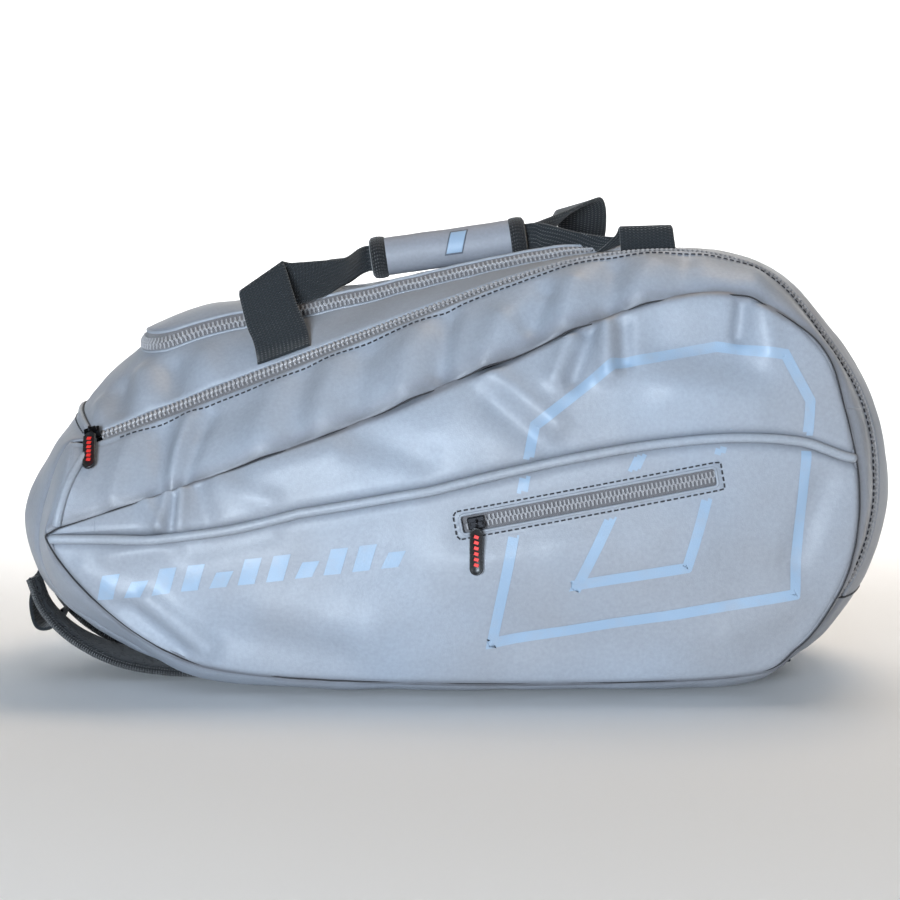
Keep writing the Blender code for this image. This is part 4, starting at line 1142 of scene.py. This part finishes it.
FAR_STRAP_IN = (
    ((-118, 80, 222.5), (18, 0, 5.5)), ((-119, 76, 238), (17.6, 0, 5)), ((-121, 70, 254), (16.8, 0, 6)),
    ((-122, 60, 268), (13.5, 0, 9)), ((-112, 46, 275), (7, 2, 11)), ((-94, 28, 279), (1, 3, 11)),
    ((-76, 6, 283), (0.5, 2, 9)))
FAR_STRAP_OUT = (
    ((62, -8, 309), (1.0, 2.0, 9.0)), ((72, 6, 316), (6.0, 3.0, 8.4)), ((81, 22, 324), (12.5, 2.0, 7.0)),
    ((88, 35, 330), (15.6, 0.5, 5.2)), ((91, 41, 330.2), (16.2, 0, 4.0)), ((93, 48, 324), (16.8, 0, 2.4)),
    ((93, 60, 310), (17.4, 0, 1.6)), ((90, 74, 295.5), (18, 0, 1.4)))


def handle_strap(side, name, ends_in, ends_out):
    """One carrying strap. It folds lengthwise where the wrap holds it."""
    in_wrap = WRAP_MIDDLE + np.array((0, side * 0.0028, 0))
    folded = WRAP_UP * 0.0080
    held = [(in_wrap + WRAP_ALONG * WRAP_LENGTH * share, folded) for share in (-0.56, -0.40, 0.40, 0.56)]
    stops = [(np.array(at) * MM, np.array(half) * MM) for at, half in ends_in] + held
    stops += [(np.array(at) * MM, np.array(half) * MM) for at, half in ends_out]
    strap = ribbon(name + "_handle_webbing", stops, WEBBING, WEB)
    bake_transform(strap)
    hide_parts(name + "_handle_strap")


def handles():
    handle_strap(-1, "near", NEAR_STRAP_IN, NEAR_STRAP_OUT)
    handle_strap(1, "far", FAR_STRAP_IN, FAR_STRAP_OUT)

    def sleeve(item_name, wide_half, tall_half, x_from, x_to, thickness, rows, material, flare=0.0):
        x, angle = np.meshgrid(np.linspace(x_from, x_to, rows), np.radians(np.linspace(58, 286, 60)),
                               indexing="ij")
        swell = 1.0 + flare * np.sin(np.linspace(0, math.pi, rows))[:, None]
        out = (np.cos(angle)[..., None] * np.array((0, 1, 0)) * wide_half
               + np.sin(angle)[..., None] * WRAP_UP * tall_half) * swell[..., None]
        points = WRAP_MIDDLE + x[..., None] * WRAP_ALONG + out
        points = points + unit(out) * (0.0003 * rumple(points, 0.02, 4.0))[..., None]
        return slab(item_name, points, unit(out), thickness, material, flat_across=True)

    end = WRAP_LENGTH / 2
    binding = 0.0090
    wrap = sleeve("handle_wrap_leather", 0.0116, 0.0132, -end + 0.004, end - 0.004, 0.0028, 60, WRAP)
    ride(wrap, "near_handle", "wrap_leather", "handle_wrap")
    for label, x in (("left", -end), ("right", end - binding)):
        bound = sleeve("handle_wrap_" + label + "_bound", 0.0124, 0.0140, x, x + binding,
                       0.0036, 10, BOUND, 0.05)
        ride(bound, "near_handle", "binding_ribbed", "handle_wrap_" + label + "_binding")

    def badge(item_name, scale, lift, material):
        """A slanted parallelogram printed round the near face of the wrap."""
        u, v = np.meshgrid(np.linspace(-1, 1, 16), np.linspace(-1, 1, 30), indexing="ij")
        x = 0.006 + scale * (0.0062 * u + 0.0030 * v)
        angle = math.radians(166) - v * scale * math.radians(38)
        out = (np.cos(angle)[..., None] * np.array((0, 1, 0)) * (0.0116 + lift)
               + np.sin(angle)[..., None] * WRAP_UP * (0.0132 + lift))
        points = WRAP_MIDDLE + x[..., None] * WRAP_ALONG + out
        return slab(item_name, points, unit(out), 0.0003, material)
    ride(badge("wrap_badge_outline", 1.0, 0.0003, OUTLINE), "near_handle", "wrap_leather")
    ride(badge("wrap_badge_fill", 0.86, 0.0005, PRINT), "near_handle", "wrap_leather")


# A shoulder strap from the narrow end to its lock: X, Z and the share of its full width.
SHOULDER_STOPS = (
    (-0.2960, 0.0680, 0.40), (-0.2870, 0.0460, 0.45), (-0.2660, 0.0260, 0.62), (-0.2350, 0.0120, 0.95),
    (-0.2000, 0.0055, 1.0), (-0.1600, 0.0045, 1.0), (-0.1300, 0.0045, 1.0), (-0.1000, 0.0045, 1.0),
    (0.0100, 0.0045, 0.95), (STRAP_END, 0.0045, 0.55))
STRIP_HALF = 0.0125
TAIL_HEIGHT = 0.0022      # middle of the webbing tail above the ground


def shoulder_strap(side, name):
    y = side * STRAP_Y
    low = STRAP_THICK / 2
    stops = [((x, y, z), (0, STRAP_HALF * share, 0)) for x, z, share in SHOULDER_STOPS]
    middles = spline([s[0] for s in stops], 14)
    halves = spline([s[1] for s in stops], 14)
    middles[:, 2] = np.maximum(middles[:, 2], low)
    along = tangents(middles)
    out = unit(np.cross(along, unit(halves)))
    sides = 40
    angles = np.arange(sides) / sides * math.tau
    wide = np.sign(np.cos(angles)) * np.abs(np.cos(angles)) ** 0.5
    tall = np.sign(np.sin(angles)) * np.abs(np.sin(angles)) ** 0.8
    length = np.linalg.norm(halves, axis=-1)
    ring = wide[None, :, None] * halves[:, None] * 0.96 + tall[None, :, None] * out[:, None] * low * 0.98
    verts = middles[:, None] + ring
    count = len(middles)
    faces = [tuple(f) for f in grid_faces(count, sides, wrap=True)]
    faces += [tuple(range(sides))[::-1], tuple((count - 1) * sides + k for k in range(sides))]
    run = lengths(middles, 0)
    flat = np.stack([np.repeat(run, sides), (wide[None] * length[:, None]).ravel(),
                     np.zeros(count * sides)], -1)
    pad = make_object(name + "_shoulder_pad", verts.reshape(-1, 3), faces, PADDING, flat)
    ride(pad, "root", "strap_mesh", name + "_shoulder_strap")
    for label, sign in (("inner", -1), ("outer", 1)):
        edge = middles + halves * 0.95 * sign
        cord = tube(name + "_pad_" + label + "_binding", edge, 0.0024, BOUND, out, 10)
        ride(cord, "root", "binding_ribbed")

    after_lock = STRAP_END + 0.0280
    strip = (0, STRIP_HALF, 0)
    web = ribbon(name + "_lower_webbing", (
        ((after_lock, y, 0.0072), strip), ((0.1750, y, 0.0056), strip), ((0.2080, y, 0.0065), strip),
        ((0.2330, y, 0.0115), strip)), WEBBING, WEB)
    ride(web, "root", "webbing_black", name + "_strap_webbing")
    turned = (0, STRIP_HALF * 0.80, STRIP_HALF * -0.60 * side)
    hang = side * 0.0040
    tail = ribbon(name + "_tail_webbing", (
        ((after_lock, y, TAIL_HEIGHT), strip), ((0.1380, y, TAIL_HEIGHT), strip),
        ((0.1520, y + hang, 0.0060), turned), ((TAIL_END - 0.0110, y + hang, 0.0088), turned),
        ((TAIL_END, y + hang, 0.0088), turned)), WEBBING, WEB)
    hem = ribbon(name + "_tail_hem", (
        ((TAIL_END - 0.0100, y + hang * 1.5, 0.0100), turned),
        ((TAIL_END - 0.0004, y + hang * 1.5, 0.0100), turned)), WEBBING, WEB)
    ride(join(name + "_tail_webbing", [tail, hem]), name + "_tail", "webbing_black", name + "_strap_tail")


def haul_loop():
    half = 0.0150
    loop = ribbon("haul_loop_webbing", (
        ((-0.2945, 0.0, 0.0720), (0, half, 0)),
        ((-0.2990, 0.0, 0.0620), (0, half, 0)),
        ((-0.3020, 0.0, 0.0460), (0, half, 0)),
        ((-0.2980, 0.0, 0.0300), (0, half, 0)),
        ((-0.2870, 0.0, 0.0300), (0, half, 0)),
        ((-0.2800, 0.0, 0.0420), (0, half, 0))), WEBBING, WEB)
    ride(loop, "root", "webbing_black", "haul_loop")


# ------------------------------------------------------------------ prints
MOTIF_OUTER = ((19, 37), (92, 49), (221, 70), (230, 198), (212, 230), (167, 236), (98, 224), (47, 184))
MOTIF_INNER = ((72, 76), (150, 88), (176, 180), (118, 172))
BARS = 11
BAR_FROM = (-232, 68)
BAR_STEP = (18.4, 2.25)
BAR_SIZE = (11.0, 17.0)
BAR_SLANT = 5.0


def print_sheet(name, x, z, side):
    """Ink on a side panel over a grid of X and Z, in one sheet above the corded seam and one below."""
    above = z - crest_height(x)
    along, up = pocket_plane(x, z)
    free = (np.abs(along) > POCKET_LENGTH / 2 + 0.0060) | (np.abs(up) > POCKET_HALF + 0.0060)
    points, _ = on_side(x, z, side, 0.00035)
    faces = grid_faces(*x.shape)
    if side > 0:
        faces = faces[:, ::-1]
    for label, wanted in (("upper", above > 0.0045), ("lower", above < -0.0045)):
        keep = (wanted & free).ravel()
        chosen = [tuple(f) for f in faces if keep[f].all()]
        if not chosen:
            continue
        sheet = make_object(name + "_" + label, points.reshape(-1, 3), chosen, PRINT)
        ride_by_label(sheet, label, side, "body_leather")


def prints(side, name):
    """An angular outline with a smaller one inside it, and a row of slanted bars."""
    for label, corners in (("outer", MOTIF_OUTER), ("inner", MOTIF_INNER)):
        loop = np.array(corners, float) * MM
        loop = even(np.concatenate([loop, loop[:1]]), 0.0020)
        way = unit(np.roll(loop[:-1], -1, 0) - np.roll(loop[:-1], 1, 0))
        inward = np.stack([-way[:, 1], way[:, 0]], -1)
        line = np.concatenate([loop[:-1], loop[:1]])
        inward = np.concatenate([inward, inward[:1]])
        offsets = np.linspace(0, 0.0068, 6)[None, :, None]
        band = line[:, None] + inward[:, None] * offsets
        print_sheet(name + "_motif_" + label, band[..., 0], band[..., 1], side)
    for k in range(BARS):
        u, v = np.meshgrid(np.linspace(0, 1, 8), np.linspace(0, 1, 10), indexing="ij")
        height = BAR_SIZE[1] * (0.62 if k % 3 == 1 else 1.0)
        x = BAR_FROM[0] + BAR_STEP[0] * k + BAR_SIZE[0] * u + BAR_SLANT * v
        z = BAR_FROM[1] + BAR_STEP[1] * k + 1.2 * u + height * v
        print_sheet(name + "_bar_" + str(k), x * MM, z * MM, side)


# ------------------------------------------------------------------ pullers
SLIDER_LEAN = math.radians(46)
BAR_HEIGHT = 0.0077       # the bail's bar above the zip
PULLER_HALF = 0.0043
PULLER_LENGTH = 0.0290
PULLER_THICK = 0.0020


def puller_frame(along, out, at, tip):
    """Origin on the bail's bar, X down the puller, Z away from the bag."""
    z = unit(out)
    pivot = at + z * BAR_HEIGHT
    down = unit(tip - pivot)
    across = unit(np.cross(down, z))
    return pivot, down, across, np.cross(across, down)


def zip_pull(label, body, place):
    """A flat tab with a rim, a wire eye and a row of raised red strokes."""
    pivot, down, across, out = place

    def put(points):
        points = np.asarray(points, float)
        return (pivot + points[..., 0:1] * down + points[..., 1:2] * across + points[..., 2:3] * out)

    start, end = 0.0055, PULLER_LENGTH
    turn = np.linspace(-math.pi / 2, math.pi / 2, 14)
    shape = [(0.0026, -0.0017), (start, -PULLER_HALF)]
    shape += [(end + PULLER_HALF * math.cos(a), PULLER_HALF * math.sin(a)) for a in turn]
    shape += [(start, PULLER_HALF), (0.0026, 0.0017)]
    loop = np.array(shape)
    middle = np.array(((start + end) / 2, 0.0))
    layers = []
    half = PULLER_THICK / 2
    for scale, height in ((0.90, -half), (0.985, -half * 0.7), (1.0, 0.0), (0.985, half * 0.7), (0.91, half),
                          (0.84, half * 0.97), (0.80, half * 0.72)):
        ring = middle + (loop - middle) * np.array((1 - (1 - scale) * 0.35, scale))
        layers.append(np.column_stack([ring, np.full(len(ring), height)]))
    count = len(loop)
    faces = [tuple(f) for f in grid_faces(len(layers), count, wrap=True)]
    faces += [tuple(range(count))[::-1], tuple((len(layers) - 1) * count + k for k in range(count))]
    tab = make_object(label + "_tab", put(np.concatenate(layers)), faces, PLASTIC)
    wire = np.linspace(0, math.tau, 25)
    ring = np.stack([0.0022 * np.cos(wire), 0 * wire, 0.0022 * np.sin(wire)], -1)
    eye = tube(label + "_eye", put(ring), 0.0005, SLIDER, np.tile(across, (25, 1)), 8)
    block_shape, block_faces = block(0.0021, 0.0030, 0.0006, 0.0001)
    where = np.linspace(0.0085, 0.0265, 6)
    origin = put(np.stack([where, 0 * where, np.full(6, half * 0.70)], -1))
    lean = unit(down + across * 0.35)
    frames = (origin, np.tile(lean, (6, 1)), np.tile(np.cross(out, lean), (6, 1)), np.tile(out, (6, 1)))
    strokes = stamp(label + "_strokes", block_shape, block_faces, frames, RED)
    whole = join(label + "_pull", [tab, eye, strokes])
    ride(whole, body, "puller_plastic", label)


def pullers():
    rise = np.array((math.cos(ZIP_RISE), 0, math.sin(ZIP_RISE)))
    up = np.array((-math.sin(ZIP_RISE), 0, math.cos(ZIP_RISE)))
    for side, name in SIDES:
        out = up * math.cos(SLIDER_LEAN) + np.array((0, side * math.sin(SLIDER_LEAN), 0))
        at = np.array((ZIP_START[0] + 0.0005, side * ZIP_Y, ZIP_START[1] + math.tan(ZIP_RISE) * 0.0005))
        tip = np.array((-0.2385, side * 0.1200, 0.1490))
        zip_pull(name + "_zip_puller", name + "_zip_puller", puller_frame(rise, out, at, tip))

        matrix = np.array(pocket_matrix(side))
        at = matrix[:3, 3] + matrix[:3, 0] * (0.010 - POCKET_LENGTH / 2)
        tip = at + np.array((0, side * (BAR_HEIGHT - 0.001), -0.030))
        place = puller_frame(matrix[:3, 0], matrix[:3, 2], at, tip)
        zip_pull(name + "_pocket_puller", name + "_pocket_puller", place)

    y = FLAP_HALF + 0.0030
    at, before, tip = (bare_skin(crown_point(np.array(x), np.array(w)), w)
                       for x, w in ((0.0350, y), (-0.0650, y), (0.0350, y + 0.030)))
    place = puller_frame(at - before, np.array((0, 0.20, 1.0)), at, tip + np.array((0, 0, 0.0050)))
    zip_pull("flap_zip_puller", "flap_zip_puller", place)


# ------------------------------------------------------------------ inside
DIVIDER_Y = 0.052


def divider(side, name):
    """A quilted wall between the centre and a racket compartment, bound along its edge."""
    loop = bare_skin(np.linspace(0, GIRTH, 160, endpoint=False), DIVIDER_Y)[:, (0, 2)] - PANEL_CENTRE
    radius = np.linalg.norm(loop, axis=1, keepdims=True)
    loop = loop * (1 - 0.0125 / radius)
    share = np.linspace(1, 0.02, 26)[:, None, None]
    grid = PANEL_CENTRE + loop[None] * share
    x, z = grid[..., 0], grid[..., 1]
    swell = 0.0007 * np.abs(np.sin(x / 0.045 * math.pi)) * smooth(1 - share[..., 0], 0.0, 0.08)
    points = np.stack([x, np.zeros_like(x), z], -1)
    swell = swell + 0.0003 * rumple(points, 0.04, 6.0)
    sheets = []
    for sign in (-1, 1):
        face = points.copy()
        face[..., 1] = side * DIVIDER_Y + sign * (0.0009 + swell)
        sheets.append(face)
    rows, columns = x.shape
    count = rows * columns
    faces = grid_faces(rows, columns, wrap=True)
    outer = np.arange(columns)
    inner = (rows - 1) * columns + outer
    rim = np.stack([outer, np.roll(outer, -1), np.roll(outer, -1) + count, outer + count], -1)
    hub = np.stack([inner, inner + count, np.roll(inner, -1) + count, np.roll(inner, -1)], -1)
    everything = [tuple(f) for f in np.concatenate([faces[:, ::-1], faces + count, rim, hub])]
    wall = make_object(name + "_divider_wall", np.concatenate([s.reshape(-1, 3) for s in sheets]),
                       everything, LINING)
    ride(wall, "root", "lining_dark", name + "_divider")
    edge = np.concatenate([points[0], points[0][:1]])
    edge[:, 1] = side * DIVIDER_Y
    binding = tube(name + "_divider_binding", edge, 0.0015, BOUND, np.tile((0, 1.0, 0), (len(edge), 1)), 8)
    ride(binding, "root", "binding_ribbed")


def pouch(side, name):
    """The pocket's lining: an open pouch behind the zip, sagging a little at its foot."""
    wide, tall, deep, lip = POCKET_LENGTH + 0.012, 0.080, 0.016, 0.012
    mouth = SEAM_Y + SIDE_RISE - 0.013
    cosine, sine = math.cos(POCKET_SLOPE), math.sin(POCKET_SLOPE)
    middle = np.array((POCKET_CENTRE[0], POCKET_CENTRE[1] - tall / 2 + lip))
    loop = np.array(round_rect(wide / 2 - 0.001, tall / 2 - 0.001, 0.012, 8))
    loop = even(np.concatenate([loop, loop[:1]]), 0.003)[:-1]
    layers = []
    for share, depth in ((1.0, 0.0), (0.995, 0.25), (0.985, 0.5), (0.975, 0.75), (0.93, 0.93), (0.86, 0.985),
                         (0.6, 1.0), (0.3, 0.985), (0.02, 0.99)):
        flat = loop * share
        x = middle[0] + flat[:, 0] * cosine - flat[:, 1] * sine
        z = middle[1] + flat[:, 0] * sine + flat[:, 1] * cosine
        layers.append(np.stack([x, np.full(len(x), side * (mouth - deep * 0.93 * depth)), z], -1))
    points = np.array(layers)
    wrinkle = 0.0010 * rumple(points, 0.018, 8.0)
    points[1:, :, 1] += side * wrinkle[1:] * 0.8
    rows, columns = points.shape[:2]
    faces = grid_faces(rows, columns, wrap=True)
    if side < 0:
        faces = faces[:, ::-1]
    bag = make_object(name + "_pouch_cloth", points.reshape(-1, 3), faces, LINING)
    thick = bag.modifiers.new("thickness", "SOLIDIFY")
    thick.thickness = 0.0008
    thick.offset = 0.0
    ride(bag, "root", "lining_dark", name + "_pocket_pouch")


# ------------------------------------------------------------------ stage
def stage():
    reach, wall, curve = 6.0, 2.6, 0.9
    profile = [(-reach, 0.0), (wall - curve, 0.0)]
    profile += [(wall - curve + curve * math.sin(a), curve - curve * math.cos(a))
                for a in np.linspace(0, math.pi / 2, 14)[1:]]
    profile.append((wall, reach))
    rows = np.array([[(-reach, y, z), (reach, y, z)] for y, z in profile])
    floor = make_object("studio_floor", rows.reshape(-1, 3), grid_faces(len(rows), 2), BODY)
    paper = Shader("studio_paper", 0.9)
    paper.colour((0.88, 0.88, 0.88))
    floor.data.materials[0] = paper.material
    floor.location.z = -0.0004

    world = bpy.data.worlds.new("studio")
    bpy.context.scene.world = world
    world.use_nodes = True
    world.node_tree.nodes["Background"].inputs[0].default_value = (0.92, 0.96, 1.0, 1.0)
    world.node_tree.nodes["Background"].inputs[1].default_value = 0.12
    bpy.context.scene.view_settings.view_transform = "Standard"

    def lamp(name, at, aim, size, power, colour):
        data = bpy.data.lights.new(name, "AREA")
        data.shape = "RECTANGLE"
        data.size, data.size_y = size
        data.energy = power
        data.color = colour
        item = bpy.data.objects.new(name, data)
        item.location = at
        item.rotation_euler = (Vector(aim) - Vector(at)).to_track_quat("-Z", "Y").to_euler()
        bpy.context.scene.collection.objects.link(item)

    lamp("key", (-0.55, -2.20, 0.30), (0.04, 0, 0.15), (0.7, 0.5), 60, (0.76, 0.88, 1.0))
    lamp("fill", (1.9, -1.8, 0.4), (0, 0, 0.15), (1.2, 0.8), 10, (0.84, 0.92, 1.0))
    lamp("top", (0.5, 0.3, 1.9), (0, 0, 0.2), (1.2, 0.8), 15, (1.0, 0.82, 0.62))
    lamp("backdrop", (0, 1.2, 1.6), (0, 2.6, 0.35), (4.0, 1.0), 75, (1.0, 1.0, 1.0))

    camera = bpy.data.objects.new("camera", bpy.data.cameras.new("camera"))
    camera.data.lens = 73.04
    camera.data.sensor_width = 36.0
    camera.location = (-0.0039, -1.3, 0.259)
    camera.rotation_euler = (Vector((-0.0039, 0, 0.155)) - camera.location).to_track_quat("-Z", "Y").to_euler()
    bpy.context.scene.collection.objects.link(camera)
    bpy.context.scene.camera = camera


stage()
crown_and_flap()
ends_and_back()
for side_sign, side_name in SIDES:
    side_shell(side_sign, side_name)
    racket_zip(side_sign, side_name)
    pocket(side_sign, side_name)
    shoulder_strap(side_sign, side_name)
    prints(side_sign, side_name)
    divider(side_sign, side_name)
    pouch(side_sign, side_name)
pullers()
handles()
haul_loop()

# ------------------------------------------------------------------ CAD nodes that stay
KEPT = {"slider": SLIDER, "ladder_lock": BUCKLE, "stiffener": LINING}
for node_name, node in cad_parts.items():
    for word, finish in KEPT.items():
        if node_name.endswith(word):
            node.data.materials.clear()
            node.data.materials.append(finish)
